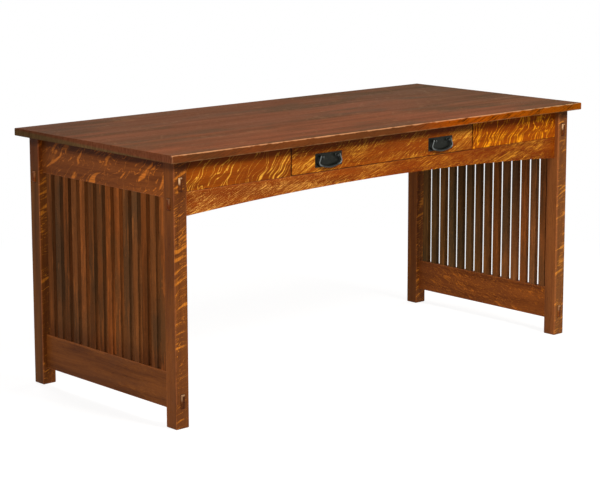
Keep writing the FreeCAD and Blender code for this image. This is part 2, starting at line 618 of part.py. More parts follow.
def make_drawer_side(name, side):
    """A drawer side with tails at the front and at the back, and a groove for the bottom."""
    board = new_body(name)
    front_tails = tail_points("-RailBackY", "TailEndY", "DrawerSideBottom", "DrawerSideTop", FRONT_TAILS)
    back_tails = tail_points("DrawerBackFaceY", "DrawerRearY", "BottomTop", "DrawerBackTop", BACK_TAILS)
    back_points = [("DrawerRearY", "DrawerSideBottom"), ("DrawerRearY", "BottomTop"),
                   ("DrawerBackFaceY", "BottomTop")] + back_tails
    back_points += [("DrawerBackFaceY", "DrawerBackTop"), ("DrawerRearY", "DrawerBackTop"),
                    ("DrawerRearY", "DrawerSideTop")]
    front_points = [("-RailBackY", "DrawerSideTop")] + front_tails[::-1]
    points = front_points + [("-RailBackY", "DrawerSideBottom")] + back_points
    offset = "%d * (DrawerHalfWidth - DrawerSideThickness / 2)" % side
    outline = draw(new_sketch(board, "YZ_Plane", "dovetailed_outline", offset), points)
    extrude(board, "board", outline, "DrawerSideThickness", middle=True)
    near_x, far_x = in_order("%d * (DrawerInnerX - Overrun)" % side,
                             "%d * (DrawerInnerX + BottomGrooveDepth)" % side)
    box(board, "bottom_groove", (near_x, "-RailBackY - BottomGrooveDepth", "BottomUnderside"),
        (far_x, "DrawerRearY + Overrun", "BottomTop"), cuts=True)
    return board


def make_drawer_back():
    """The drawer's back, which stands on the bottom between through dovetails."""
    back = new_body("drawer_back")
    box(back, "board", ("-DrawerHalfWidth", "DrawerBackFaceY", "BottomTop"),
        ("DrawerHalfWidth", "DrawerRearY", "DrawerBackTop"))
    tail_sockets(back, "tail_socket", "DrawerBackFaceY", "DrawerRearY", "BottomTop", "DrawerBackTop",
                 BACK_TAILS, overrun_shoulder=False)
    return back


def make_drawer_bottom():
    bottom = new_body("drawer_bottom")
    box(bottom, "panel",
        ("-DrawerInnerX - BottomGrooveDepth", "-RailBackY - BottomGrooveDepth", "BottomUnderside"),
        ("DrawerInnerX + BottomGrooveDepth", "DrawerRearY", "BottomTop"))
    return bottom


def make_stop_block():
    """A block glued to the drawer's back, which meets the cleat under the top."""
    block = new_body("drawer_stop_block")
    box(block, "block", ("-StopBlockWidth / 2", "DrawerRearY", "StopBlockTop - StopBlockHeight"),
        ("StopBlockWidth / 2", "DrawerRearY + StopBlockThickness", "StopBlockTop"))
    return block


def make_runner(name, side):
    """An L-shaped runner: a ledge that carries the drawer side and a guide beside it."""
    runner = new_body(name)
    points = [("LedgeInnerX", "RowBottom - RunnerLedgeThickness"),
              ("GuideX + RunnerGuideWidth", "RowBottom - RunnerLedgeThickness"),
              ("GuideX + RunnerGuideWidth", "RowBottom + RunnerGuideHeight"),
              ("GuideX", "RowBottom + RunnerGuideHeight"), ("GuideX", "RowBottom"),
              ("LedgeInnerX", "RowBottom")]
    points = [("%d * (%s)" % (side, x), z) for x, z in points]
    section = draw(new_sketch(runner, "XZ_Plane", "runner_section"), points)
    extrude(runner, "runner", section, "2 * RailBackY", middle=True)
    ledge = in_order("%d * LedgeInnerX" % side, "%d * (GuideX + RunnerGuideWidth)" % side)
    box(runner, "housed_ends",
        (ledge[0], "-RailBackY - HousingDepth", "RowBottom - RunnerLedgeThickness"),
        (ledge[1], "RailBackY + HousingDepth", "RowBottom"))
    return runner


def make_kicker(name, side):
    """A bar under the top that keeps the drawer level when it is pulled out."""
    kicker = new_body(name)
    span = in_order("%d * LedgeInnerX" % side, "%d * KickerOuterX" % side)
    box(kicker, "bar", (span[0], "KickerFrontY", "KickerBottom"), (span[1], "RailBackY", "LegTop"))
    return kicker


def make_stop_cleat():
    """A bar between the kickers that the drawer's stop block meets."""
    cleat = new_body("drawer_stop_cleat")
    box(cleat, "bar", ("-LedgeInnerX", "CleatFrontY", "KickerBottom"),
        ("LedgeInnerX", "CleatRearY", "LegTop"))
    return cleat


def make_screw():
    """A screw that points up, with the face of its head at its own origin and eight-sided rounds."""
    screw = new_body("screw_form")
    origin = ("0", "0", "0")
    prism(screw, "head", origin, (0, 0, 1), "ScrewHeadRadius", "ScrewHeadThickness")
    prism(screw, "shank", origin, (0, 0, 1), "ScrewRadius", "ScrewLength")
    return screw


def make_button():
    """A wooden button whose tongue points to -X, with the rail's face at its own origin."""
    button = new_body("button_form")
    points = [("-ButtonTongueLength + ButtonGap", "ButtonBottom"),
              ("ButtonGap + ButtonLength", "ButtonBottom"), ("ButtonGap + ButtonLength", "LegTop"),
              ("ButtonGap", "LegTop"), ("ButtonGap", "ButtonBottom + ButtonTongueThickness"),
              ("-ButtonTongueLength + ButtonGap", "ButtonBottom + ButtonTongueThickness")]
    side_view = draw(new_sketch(button, "XZ_Plane", "button_side_view"), points)
    extrude(button, "button", side_view, "ButtonWidth", middle=True)
    return button


def button_places():
    """Where each button's rail face is, and which way the button points from it."""
    places = []
    face_x = value("LegCentreX - RailThickness / 2")
    face_y = value("RailBackY")
    share = value("EndButtonShare")
    for side, turn in ((-1, 0), (1, HALF_TURN)):
        for number in range(BUTTONS_PER_END):
            step = (number - (BUTTONS_PER_END - 1) / 2) * share
            places.append((side * face_x, step * value("2 * LegInnerY"), turn))
        panel = value("LegInnerX - PanelInnerX")
        panel_x = value("PanelInnerX") + value("FrontButtonShare") * panel
        places.append((side * panel_x, -face_y, QUARTER_TURN))
    for step in (-1, 0, 1):
        places.append((step * value("BackButtonShare") * value("2 * LegInnerX"), face_y, -QUARTER_TURN))
    return places


def make_buttons_and_screws():
    """The buttons that hold the top, and all screws that go up into it."""
    form = make_button()
    screw_form = make_screw()
    doc.recompute()
    screw_x = value("ButtonGap + ButtonLength / 2")
    upright = FreeCAD.Vector(0, 0, 1)
    buttons = []
    screws = []
    for x, y, turn in button_places():
        place = FreeCAD.Placement(FreeCAD.Vector(x, y, 0), FreeCAD.Rotation(upright, turn))
        at = place.multVec(FreeCAD.Vector(screw_x, 0, value("ButtonBottom")))
        screw = screw_form.Shape.copy()
        screw.translate(at)
        button = form.Shape.copy()
        button.Placement = place.multiply(button.Placement)
        buttons.append(button.cut(screw))
        screws.append(screw)
    for at in bar_screw_places():
        screw = screw_form.Shape.copy()
        screw.translate(at)
        screws.append(screw)
    return group("top_buttons", buttons), group("top_screws", screws)


def bar_screw_places():
    """Screws through the kickers and through the stop cleat."""
    height = value("KickerBottom")
    kicker_x = value("(LedgeInnerX + KickerOuterX) / 2")
    middle_y = value("(KickerFrontY + RailBackY) / 2")
    step_y = value("KickerScrewShare * (RailBackY - KickerFrontY)")
    places = []
    for side in (-1, 1):
        for number in range(SCREWS_PER_KICKER):
            y = middle_y + (number - (SCREWS_PER_KICKER - 1) / 2) * step_y
            places.append(FreeCAD.Vector(side * kicker_x, y, height))
        cleat_x = side * value("CleatScrewShare * 2 * LedgeInnerX")
        places.append(FreeCAD.Vector(cleat_x, value("CleatFrontY + KickerWidth / 2"), height))
    return places


def bored(body, name, screws):
    """A body with the screws' shapes cut out of it, under the body's own name."""
    body.Label = name + "_blank"
    cut = doc.addObject("Part::Cut", name)
    cut.Label = name
    cut.Base = body
    cut.Tool = screws
    return cut


def make_tabletop(screws):
    """Six boards glued edge to edge, cut from one slab with rounded arrises and screw holes."""
    slab = new_body("tabletop_slab")
    box(slab, "slab", ("-DeskLength / 2", "-DeskDepth / 2", "LegTop"),
        ("DeskLength / 2", "DeskDepth / 2", "DeskHeight"))
    level = lambda middle, way: not runs_along(way, (0, 0, 1))
    dress(slab, "Fillet", "rounded_arrises", "TopEdgeRound", level)
    doc.recompute()
    pierced = slab.Shape.cut(screws.Shape)
    boards = []
    front = 0
    for share in BOARD_SHARES:
        low = value("-DeskDepth / 2") + front * value("DeskDepth")
        corner = FreeCAD.Vector(value("-DeskLength / 2"), low, value("LegTop"))
        plank = Part.makeBox(value("DeskLength"), share * value("DeskDepth"), value("TopThickness"), corner)
        boards.append(pierced.common(plank).Solids[0])
        front += share
    return group("tabletop", boards)


def make_plate(name, side):
    """A pull's back plate with two holes, drawn with the pivot line at its own origin."""
    plate = new_body(name)
    box(plate, "sheet", ("-PlateWidth / 2", "-PlateThickness", "PlateAbovePivot - PlateHeight"),
        ("PlateWidth / 2", "0", "PlateAbovePivot"))
    corners = lambda middle, way: runs_along(way, (0, 1, 0))
    dress(plate, "Fillet", "rounded_corners", "PlateCornerRound", corners)
    on_face = lambda middle, way: near(middle.y, value("-PlateThickness"))
    dress(plate, "Chamfer", "face_bevel", "PlateBevel", on_face)
    for post in (-1, 1):
        cylinder(plate, "post_hole", ("%d * PostSpacing / 2" % post, "-PlateThickness - Overrun", "0"),
                 (0, 1, 0), "PostShankRadius + PostHoleClearance", "PlateThickness + 2 * Overrun",
                 cuts=True)
    return put(plate, "%d * PullSpacing / 2" % side, "-RailFaceY", "PullZ")


def make_post():
    """A forged post with eight sides: shank, collar, neck and a head bored for the bail's pin."""
    post = new_body("post_form")
    forwards = (0, -1, 0)
    face = "-PlateThickness"
    back = "RailThickness + NutThickness + ShankBeyondNut"
    head_back, head_front = ("%s - PivotStandOff %s PostHeadRadius" % (face, sign) for sign in "+-")
    prism(post, "shank", ("0", back, "0"), forwards, "PostShankRadius", back + " + PlateThickness")
    prism(post, "collar", ("0", face, "0"), forwards, "PostCollarRadius", "PostCollarThickness")
    prism(post, "neck", ("0", face, "0"), forwards, "PostNeckRadius", "PivotStandOff")
    prism(post, "head", ("0", head_back, "0"), forwards, "PostHeadRadius", "2 * PostHeadRadius")
    at_rim = lambda middle, way: (near(middle.y, value(head_front)) or near(middle.y, value(head_back))) \
        and middle.distanceToLine(FreeCAD.Vector(), FreeCAD.Vector(0, 1, 0)) > value("PostNeckRadius")
    dress(post, "Chamfer", "head_bevels", "PostHeadBevel", at_rim)
    prism(post, "pin_bore", ("-PostHeadRadius - Overrun", face + " - PivotStandOff", "0"), (1, 0, 0),
          "BailPinRadius + BailPinClearance", "2 * PostHeadRadius + 2 * Overrun", cuts=True)
    return post


def make_nut():
    nut = new_body("nut_form")
    prism(nut, "hexagon", ("0", "RailThickness", "0"), (0, 1, 0), "NutRadius", "NutThickness", NUT_SIDES)
    cylinder(nut, "thread", ("0", "RailThickness - Overrun", "0"), (0, 1, 0), "PostShankRadius",
             "NutThickness + 2 * Overrun", cuts=True)
    return nut


def make_posts_and_nuts():
    """Two posts with nuts for each of the two pulls."""
    forms = [("pull_posts", make_post()), ("pull_nuts", make_nut())]
    doc.recompute()
    groups = []
    for name, form in forms:
        shapes = []
        for pull in (-1, 1):
            for post in (-1, 1):
                shape = form.Shape.copy()
                x = value("%d * PullSpacing / 2 + %d * PostSpacing / 2" % (pull, post))
                shape.translate(FreeCAD.Vector(x, value("-RailFaceY"), value("PullZ")))
                shapes.append(shape)
        groups.append(group(name, shapes))
    return groups


def make_bail(name, side):
    """A bail forged from one eight-sided rod, with two pins that turn in the posts.

    Half of it is swept from the middle of the grip, round one corner and up the flared arm,
    and the other half is its mirror image.
    """
    bail = new_body(name)
    points = [("0", "-BailDrop"), ("GripEndX", "GripEndZ"), ("ArmEndX", "ArmEndZ"),
              ("BailArmX", "BailEyeRise")]
    arcs = {0: ("GripEndX / 2", "GripCentreZ - sqrt(BailSweepRadius^2 - (GripEndX / 2)^2)",
                "BailSweepRadius"),
            1: ("BailCornerX + BailCornerRadius / sqrt(2)", "BailCornerZ - BailCornerRadius / sqrt(2)",
                "BailCornerRadius")}
    path = draw(new_sketch(bail, "XZ_Plane", "bail_path"), points, arcs, closed=False)
    section = new_sketch(bail, "YZ_Plane", "bail_section")
    angles = ["(%d + 1 / 2) * %d / %d" % (number, FULL_TURN, FORGED_SIDES)
              for number in range(FORGED_SIDES)]
    draw(section, [("BailRodRadius * cos(%s)" % angle, "BailRodRadius * sin(%s) - BailDrop" % angle)
                   for angle in angles])
    rod = bail.newObject("PartDesign::AdditivePipe", "rod")
    rod.Profile = section
    rod.Spine = (path, [])
    whole = bail.newObject("PartDesign::Mirrored", "both_halves")
    whole.Originals = [rod]
    whole.MirrorPlane = (origin_feature(bail, "YZ_Plane"), [""])
    bail.Tip = whole
    for end in (-1, 1):
        prism(bail, "pin", ("%d * BailArmX" % end, "0", "0"), (-end, 0, 0), "BailPinRadius",
              "BailRodRadius + BailSideGap + 2 * PostHeadRadius")
    return put(bail, "%d * PullSpacing / 2" % side, "PivotY", "PullZ")


def make_desk():
    """Every piece of the desk, as the list of objects that are written out."""
    pieces = []
    for end, side, turn in (("left", -1, 0), ("right", 1, HALF_TURN)):
        for depth, way in (("front", -1), ("back", 1)):
            pieces.append(make_leg("leg_%s_%s" % (depth, end), "%d * LegCentreX" % side,
                                   "%d * LegCentreY" % way, turn))
        pieces.append(make_side_rail("side_rail_upper_" + end, side, "UpperRailBottom",
                                     "UpperRailHeight", "UpperTenonBottom", False))
        pieces.append(make_side_rail("side_rail_lower_" + end, side, "LowerRailClearance",
                                     "LowerRailHeight", "LowerTenonBottom", True))
        for number in range(SLATS_PER_END):
            pieces.append(make_slat("slat_%s_%02d" % (end, number + 1), side, number))
        pieces.append(make_front_panel("front_panel_" + end, side))
        pieces.append(make_drawer_side("drawer_side_" + end, side))
        pieces.append(make_runner("drawer_runner_" + end, side))
        pieces.append(make_plate("pull_plate_" + end, side))
        pieces.append(make_bail("pull_bail_" + end, side))
    pieces += [make_front_rail(), make_back_apron(), make_drawer_front(), make_drawer_back()]
    pieces += [make_drawer_bottom(), make_stop_block()]
    buttons, screws = make_buttons_and_screws()
    pieces += [buttons, screws]
    pieces += make_posts_and_nuts()
    for end, side in (("left", -1), ("right", 1)):
        name = "drawer_kicker_" + end
        pieces.append(bored(make_kicker(name + "_bar", side), name, screws))
    pieces.append(bored(make_stop_cleat(), "drawer_stop_cleat", screws))
    pieces.append(make_tabletop(screws))
    return pieces


def check(pieces):
    """Stop if anything failed to build."""
    doc.recompute()
    for item in doc.Objects:
        if "Invalid" in item.State or "Error" in item.State:
            raise RuntimeError("%s did not build: %s" % (item.Label, item.State))
    for piece in pieces:
        if piece.Shape.isNull() or not piece.Shape.isValid() or not piece.Shape.Solids:
            raise RuntimeError(piece.Label + " has no sound solid")


def write(pieces):
    os.makedirs("parts", exist_ok=True)
    for piece in pieces:
        piece.Shape.exportStep(os.path.join("parts", piece.Label + ".step"))
    print("%d pieces written" % len(pieces))


desk = make_desk()
check(desk)
write(desk)
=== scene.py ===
import math
import bmesh
import bpy
import numpy as np
from mathutils import Euler, Matrix, Vector


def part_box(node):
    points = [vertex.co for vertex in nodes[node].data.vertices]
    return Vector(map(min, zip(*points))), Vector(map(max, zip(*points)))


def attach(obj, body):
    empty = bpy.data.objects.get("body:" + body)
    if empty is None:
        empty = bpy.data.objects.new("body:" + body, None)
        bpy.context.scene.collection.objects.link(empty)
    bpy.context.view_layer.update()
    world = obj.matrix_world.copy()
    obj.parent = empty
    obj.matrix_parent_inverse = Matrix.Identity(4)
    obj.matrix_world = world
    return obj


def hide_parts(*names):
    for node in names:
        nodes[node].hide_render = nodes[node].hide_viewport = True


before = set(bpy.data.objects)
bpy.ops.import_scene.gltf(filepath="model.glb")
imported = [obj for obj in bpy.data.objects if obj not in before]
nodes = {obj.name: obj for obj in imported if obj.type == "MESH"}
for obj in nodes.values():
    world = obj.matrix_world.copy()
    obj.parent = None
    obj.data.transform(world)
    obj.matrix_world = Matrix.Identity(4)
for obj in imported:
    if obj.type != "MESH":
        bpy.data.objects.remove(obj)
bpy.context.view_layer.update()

# Plain helpers for colours and node trees


def colour(red, green, blue):
    """A linear colour from the usual 0 to 255 screen values."""
    share = np.array([red, green, blue]) / 255
    low, high = share / 12.92, ((share + 0.055) / 1.055) ** 2.4
    return (*np.where(share <= 0.04045, low, high).tolist(), 1.0)


class Bench:
    """Places nodes in one node tree and joins them with links."""

    def __init__(self, tree):
        self.tree = tree

    def feed(self, socket, given):
        """Link a socket to another one, or set its value."""
        if isinstance(given, bpy.types.NodeSocket):
            self.tree.links.new(given, socket)
        else:
            socket.default_value = given

    def place(self, kind, given=None, **settings):
        """A new node with its settings, and what its inputs are given by name or number."""
        made = self.tree.nodes.new(kind)
        for key, setting in settings.items():
            setattr(made, key, setting)
        for key, value in (given or {}).items():
            self.feed(made.inputs[key], value)
        return made

    def sum(self, operation, *given):
        """A sum of numbers, such as a product or the larger of two."""
        made = self.place("ShaderNodeMath", dict(enumerate(given)), operation=operation)
        return made.outputs[0]

    def arrow(self, operation, *given, **more):
        """A sum of vectors that comes to a vector."""
        made = self.place("ShaderNodeVectorMath", dict(enumerate(given)), operation=operation)
        for key, value in more.items():
            self.feed(made.inputs[key], value)
        return made.outputs[0]

    def measure(self, operation, *given):
        """A sum of vectors that comes to one number, such as a length or a dot product."""
        made = self.place("ShaderNodeVectorMath", dict(enumerate(given)), operation=operation)
        return made.outputs["Value"]

    def fade(self, given, low, high, to_low=0.0, to_high=1.0):
        """A smooth step of a value from one range into another."""
        made = self.place("ShaderNodeMapRange", {"Value": given, "From Min": low, "From Max": high,
                                                 "To Min": to_low, "To Max": to_high},
                          interpolation_type="SMOOTHSTEP")
        return made.outputs["Result"]

    def share(self, given, low, high):
        """A value's share of the way between two ends, in a straight line."""
        made = self.place("ShaderNodeMapRange",
                          {"Value": given, "From Min": low, "From Max": high})
        return made.outputs["Result"]

    def blend(self, share, first, second, way="MIX"):
        """Two colours mixed, with the share of the second."""
        given = {0: share, 6: first, 7: second}
        made = self.place("ShaderNodeMix", data_type="RGBA", blend_type=way)
        for number, value in given.items():
            self.feed(made.inputs[number], value)
        return made.outputs[2]

    def noise(self, vector, detail=2.0, roughness=0.5, distortion=0.0, scale=1.0):
        """Soft noise from 0 to 1 at a place."""
        made = self.place("ShaderNodeTexNoise",
                          {"Vector": vector, "Scale": scale, "Detail": detail,
                           "Roughness": roughness, "Distortion": distortion})
        return made.outputs[0]

    def steps(self, given, stops):
        """Constant steps of a 0 to 1 value: pairs of where a step begins and its colour."""
        made = self.place("ShaderNodeValToRGB", {"Fac": given})
        ramp = made.color_ramp
        ramp.interpolation = "CONSTANT"
        for number, (place, tint) in enumerate(stops):
            stop = ramp.elements[number] if number < 1 else ramp.elements.new(place)
            stop.position, stop.color = place, tint
        ramp.elements.remove(ramp.elements[len(ramp.elements) - 1])
        return made.outputs[0]

    def ends(self, vector):
        """A vector's X, Y and Z."""
        made = self.place("ShaderNodeSeparateXYZ", {"Vector": vector})
        return made.outputs[0], made.outputs[1], made.outputs[2]

    def join(self, first, second, third):
        """A vector from its X, Y and Z."""
        made = self.place("ShaderNodeCombineXYZ", {"X": first, "Y": second, "Z": third})
        return made.outputs[0]


SOCKETS = {"vector": "NodeSocketVector", "number": "NodeSocketFloat", "colour": "NodeSocketColor"}


def new_group(name, given, made):
    """A shader node group with named inputs and outputs, its bench and its two end nodes."""
    group = bpy.data.node_groups.new(name, "ShaderNodeTree")
    for label, kind in given.items():
        group.interface.new_socket(name=label, in_out="INPUT", socket_type=SOCKETS[kind])
    for label, kind in made.items():
        group.interface.new_socket(name=label, in_out="OUTPUT", socket_type=SOCKETS[kind])
    bench = Bench(group)
    inlet = bench.place("NodeGroupInput").outputs
    outlet = bench.place("NodeGroupOutput").inputs
    return group, bench, inlet, outlet


def bare_bench(material):
    """The bench of a material or a world whose node tree has been emptied."""
    material.use_nodes = True
    material.node_tree.nodes.clear()
    return Bench(material.node_tree)


def new_material(name):
    """A material with one Principled shader, its bench and that shader."""
    material = bpy.data.materials.new(name)
    bench = bare_bench(material)
    shader = bench.place("ShaderNodeBsdfPrincipled")
    bench.place("ShaderNodeOutputMaterial", {"Surface": shader.outputs[0]})
    return material, bench, shader


def dress(piece, material):
    """Give a piece its one material."""
    piece.data.materials.clear()
    piece.data.materials.append(material)


# Shared shader groups

# How often each pattern of the oak repeats in a metre along, across and through the board
REPEATS = {"wander": (2.2, 7.0, 7.0), "lines": (5.0, 260.0, 260.0), "bands": (1.6, 26.0, 26.0),
           "pores": (70.0, 900.0, 900.0), "patches": (2.6, 8.0, 8.0), "curl": (9.0, 22.0, 12.0),
           "crowd": (6.0, 14.0, 8.0), "rings": (20.0, 380.0, 60.0)}
FLECKS_THROUGH = 12.0

# How far the grain moves for each whole number of a board's seed, in metres, and how far its
# slow wander bends it across and through the board
SEED_STEP = (0.317, 0.773, 0.539)
BEND_ACROSS, BEND_THROUGH = 0.05, 0.03

# How squarely a place faces along Z to show flecks, and along X to show end grain
FACE_TURN = (0.35, 0.8)
END_TURN = (0.45, 0.8)

# The middle of the noise that the flecks come from, how far past its level a broad fleck is
# full, and the width that a strand has at least
RAY_MIDDLE = 0.49
FLECK_RISE = 0.075
LEAST_STRAND = 0.001


def make_oak_group():
    """Oak in the board's own axes: X along the grain, Y across the face, Z through the board.

    The growth lines are noise drawn out along the grain. The ray flecks start from noise drawn
    out across the grain, slanted by adding a share of Y to X and curled by adding a slow noise.
    Broad flecks are where that noise passes a level, and thin strands are where it is close to
    its middle. Both are broken up by the growth lines. They show where the face looks along Z,
    and end grain where it looks along X.
    """
    group, bench, inlet, outlet = new_group(
        "quartered_oak",
        {"Vector": "vector", "Facing": "vector", "Seed": "number", "Base": "colour",
         "Dark": "colour", "Fleck": "colour", "Patch": "colour", "Patch Amount": "number",
         "Fleck Amount": "number", "Fleck Width": "number", "Fleck Length": "number",
         "Slant": "number", "Fleck Cover": "number", "Strand": "number", "Curl": "number"},
        {"Color": "colour", "Roughness": "number", "Height": "number"})

    def pattern(name, place, *settings):
        """Noise at the size of one of the oak's patterns."""
        return bench.noise(bench.arrow("MULTIPLY", place, REPEATS[name]), *settings)

    here = bench.arrow("ADD", inlet["Vector"], bench.arrow("SCALE", SEED_STEP, Scale=inlet["Seed"]))
    wander = pattern("wander", here, 2.0)
    along, across, through = bench.ends(here)
    lean = bench.sum("MULTIPLY_ADD", wander, BEND_ACROSS, across)
    deep = bench.sum("MULTIPLY_ADD", wander, BEND_THROUGH, through)
    grain = bench.join(along, lean, deep)
    lines = pattern("lines", grain, 3.0, 0.6)
    bands = pattern("bands", grain, 3.0, 0.55)
    pore = bench.fade(pattern("pores", grain, 1.0, 0.5), 0.60, 0.72)
    tone = bench.sum("ADD", bench.fade(lines, 0.35, 0.75, 0.0, 0.35),
                     bench.fade(bands, 0.38, 0.68, 0.0, 0.65))
    wood = bench.blend(tone, inlet["Base"], inlet["Dark"])
    patches = pattern("patches", here, 3.0, 0.55, 0.4)
    patch = bench.sum("MULTIPLY", bench.fade(patches, 0.46, 0.66), inlet["Patch Amount"])
    wood = bench.blend(patch, wood, inlet["Patch"])

    curl = bench.sum("SUBTRACT", pattern("curl", here, 1.0), 0.5)
    curled = bench.sum("MULTIPLY_ADD", curl, inlet["Curl"], along)
    slid = bench.sum("MULTIPLY_ADD", across, inlet["Slant"], curled)
    ray = bench.join(bench.sum("DIVIDE", slid, inlet["Fleck Width"]),
                     bench.sum("DIVIDE", across, inlet["Fleck Length"]),
                     bench.sum("MULTIPLY", through, FLECKS_THROUGH))
    rays = bench.noise(ray, 2.0, 0.45, 0.5)
    crowd = pattern("crowd", here, 1.0, 0.5)
    level = bench.sum("SUBTRACT", bench.fade(crowd, 0.35, 0.65, 0.68, 0.52), inlet["Fleck Cover"])
    broad = bench.fade(bench.sum("SUBTRACT", rays, level), 0.0, FLECK_RISE)
    off = bench.sum("ABSOLUTE", bench.sum("SUBTRACT", rays, RAY_MIDDLE))
    thin = bench.sum("MULTIPLY", bench.fade(crowd, 0.32, 0.62, 0.25, 1.0), inlet["Strand"])
    thin = bench.sum("ADD", thin, LEAST_STRAND)
    strand = bench.fade(bench.sum("DIVIDE", off, thin), 0.35, 1.0, 1.0, 0.0)
    fleck = bench.sum("MAXIMUM", broad, strand)
    broken = bench.fade(lines, 0.30, 0.62, 1.0, 0.55)
    facing_end, _, facing_face = bench.ends(inlet["Facing"])
    shown = bench.sum("MULTIPLY", bench.sum("MULTIPLY", fleck, broken),
                      bench.fade(facing_face, *FACE_TURN))
    wood = bench.blend(bench.sum("MULTIPLY", shown, inlet["Fleck Amount"]), wood, inlet["Fleck"])
    wood = bench.blend(bench.sum("MULTIPLY", pore, 0.45), wood, inlet["Dark"], "MULTIPLY")

    ring = bench.fade(pattern("rings", here, 3.0, 0.6, 0.3), 0.38, 0.66, 0.55, 1.0)
    end_wood = bench.blend(ring, (0, 0, 0, 1), inlet["Dark"])
    ended = bench.sum("MULTIPLY", bench.fade(facing_end, *END_TURN), 0.9)
    bench.feed(outlet["Color"], bench.blend(ended, wood, end_wood))
    shine = bench.sum("ADD", bench.fade(bands, 0.3, 0.7, 0.40, 0.48),
                      bench.sum("MULTIPLY", pore, 0.10))
    bench.feed(outlet["Roughness"], bench.sum("MULTIPLY_ADD", shown, -0.05, shine))
    rise = bench.sum("MULTIPLY_ADD", shown, 0.25, bench.sum("MULTIPLY", lines, 0.4))
    bench.feed(outlet["Height"], bench.sum("MULTIPLY_ADD", pore, -0.8, rise))
    return group


def make_arris_group():
    """How near a place is to an arris of a squared piece, as a mask for wear, painted shade and
    painted highlight.

    With the piece's centre and half sizes, the distances inside its three pairs of faces are
    half size less the distance from the centre. The middle one of the three is the distance to
    the nearest arris, and noise makes the marked line uneven.
    """
    group, bench, inlet, outlet = new_group(
        "arris_wear_and_light",
        {"Vector": "vector", "Centre": "vector", "Half": "vector", "Width": "number"},
        {"Arris Mask": "number"})
    out = bench.arrow("ABSOLUTE", bench.arrow("SUBTRACT", inlet["Vector"], inlet["Centre"]))
    x, y, z = bench.ends(bench.arrow("SUBTRACT", inlet["Half"], out))
    low = bench.sum("MINIMUM", x, y)
    high = bench.sum("MAXIMUM", x, y)
    near = bench.sum("MAXIMUM", low, bench.sum("MINIMUM", high, z))
    rough = bench.noise(inlet["Vector"], 3.0, 0.6, 0.0, 34.0)
    width = bench.sum("MULTIPLY", inlet["Width"], bench.fade(rough, 0.3, 0.7, 0.4, 1.5))
    arris_marking = bench.fade(bench.sum("DIVIDE", near, width), 0.25, 1.0, 1.0, 0.0)
    bench.feed(outlet["Arris Mask"], arris_marking)
    return group


def make_forge_group():
    """Fire scale and rubbed places on forged metal, from two sizes of noise."""
    group, bench, inlet, outlet = new_group(
        "forged_scale", {"Vector": "vector", "Black": "colour", "Rubbed": "colour"},
        {"Color": "colour", "Roughness": "number", "Height": "number"})
    scale = bench.noise(inlet["Vector"], 4.0, 0.6, 0.3, 150.0)
    speck = bench.noise(inlet["Vector"], 2.0, 0.5, 0.0, 900.0)
    rubbed = bench.fade(scale, 0.48, 0.72)
    bench.feed(outlet["Color"], bench.blend(rubbed, inlet["Black"], inlet["Rubbed"]))
    smooth = bench.fade(scale, 0.3, 0.7, 0.30, 0.22)
    bench.feed(outlet["Roughness"], bench.sum("MULTIPLY_ADD", speck, 0.16, smooth))
    fine = bench.sum("MULTIPLY", speck, 0.2)
    bench.feed(outlet["Height"], bench.sum("MULTIPLY_ADD", scale, 0.8, fine))
    return group


oak_group = make_oak_group()
arris_group = make_arris_group()
forge_group = make_forge_group()

# Finishes. The looks are screen colours, and the flecks' sizes are metres

AXES = {"x": Vector((1, 0, 0)), "y": Vector((0, 1, 0)), "z": Vector((0, 0, 1))}
FRONT_LOOK = {"base": (164, 80, 10), "dark": (112, 50, 6), "fleck": (255, 184, 62),
              "patch": (138, 62, 10), "patch_amount": 0.7}
FRAME_LOOK = {"base": (134, 74, 28), "dark": (84, 42, 16), "fleck": (226, 134, 40),
              "patch": (104, 58, 28), "patch_amount": 0.6}
SLAT_LOOK = {"base": (138, 79, 38), "dark": (84, 48, 23), "fleck": (180, 102, 46),
             "patch": (88, 60, 36), "patch_amount": 0.8}
INNER_LOOK = {"base": (196, 158, 108), "dark": (170, 128, 80), "fleck": (212, 178, 130),
              "patch": (182, 142, 94), "patch_amount": 0.5}
PLAIN_FLECKS = {"fleck_amount": 0.35, "fleck_width": 0.012, "fleck_length": 0.05, "slant": -0.4,
                "fleck_cover": 0.0, "strand": 0.01, "curl": 0.03}


def grain_turn(along, across):
    """The turn that brings a board's own axes to X along, Y across and Z through."""
    first, second = AXES[along], AXES[across]
    return Matrix((first, second, first.cross(second))).to_euler("XYZ")


def lay_grain(bench, place, seed, along, across, look, tone, flecks, boards=None):
    """The shared oak group, turned to a board's own axes and stained with its colours.

    The names in the look and the flecks are those of the group's inputs, in small letters.
    boards is the tint and the shift of the pattern on each board of a glued-up one.
    """
    turn = grain_turn(along, across)
    here, facing = (bench.place("ShaderNodeMapping",
                                {"Vector": place[key], "Rotation": turn}).outputs[0]
                    for key in ("Object", "Normal"))
    stain = {key: (*(np.array(colour(*look[key])[:3]) * tone).tolist(), 1.0)
             for key in ("base", "dark", "fleck", "patch")}
    if boards:
        tint, shift = boards
        stain["base"] = bench.blend(1.0, stain["base"], tint, "MULTIPLY")
        here = bench.arrow("ADD", here, shift)
    wood = bench.place("ShaderNodeGroup", node_tree=oak_group)
    for key, value in {**PLAIN_FLECKS, **flecks, **stain, "patch_amount": look["patch_amount"],
                       "seed": seed, "vector": here,
                       "facing": bench.arrow("ABSOLUTE", facing)}.items():
        bench.feed(wood.inputs[key.replace("_", " ").title()], value)
    return wood.outputs


# The tabletop's underside, how far below it the painted overhang shade begins and is full, its tint
UNDER_TOP = 0.739775
PAINTED_SHADE_BELOW = (0.034, 0.016)
PAINTED_SHADE_TINT = (0.30, 0.25, 0.20)

# The top's front and end grain beside its face, how squarely a face looks one way, and how far
# the grain is moved from each board to the next
EDGE_TINT = (0.74, 0.68, 0.60, 1.0)
END_TINT = (1.25, 1.25, 1.5, 1.0)
SQUARE_ON = (0.5, 0.8)
BOARD_SHIFT = 0.13
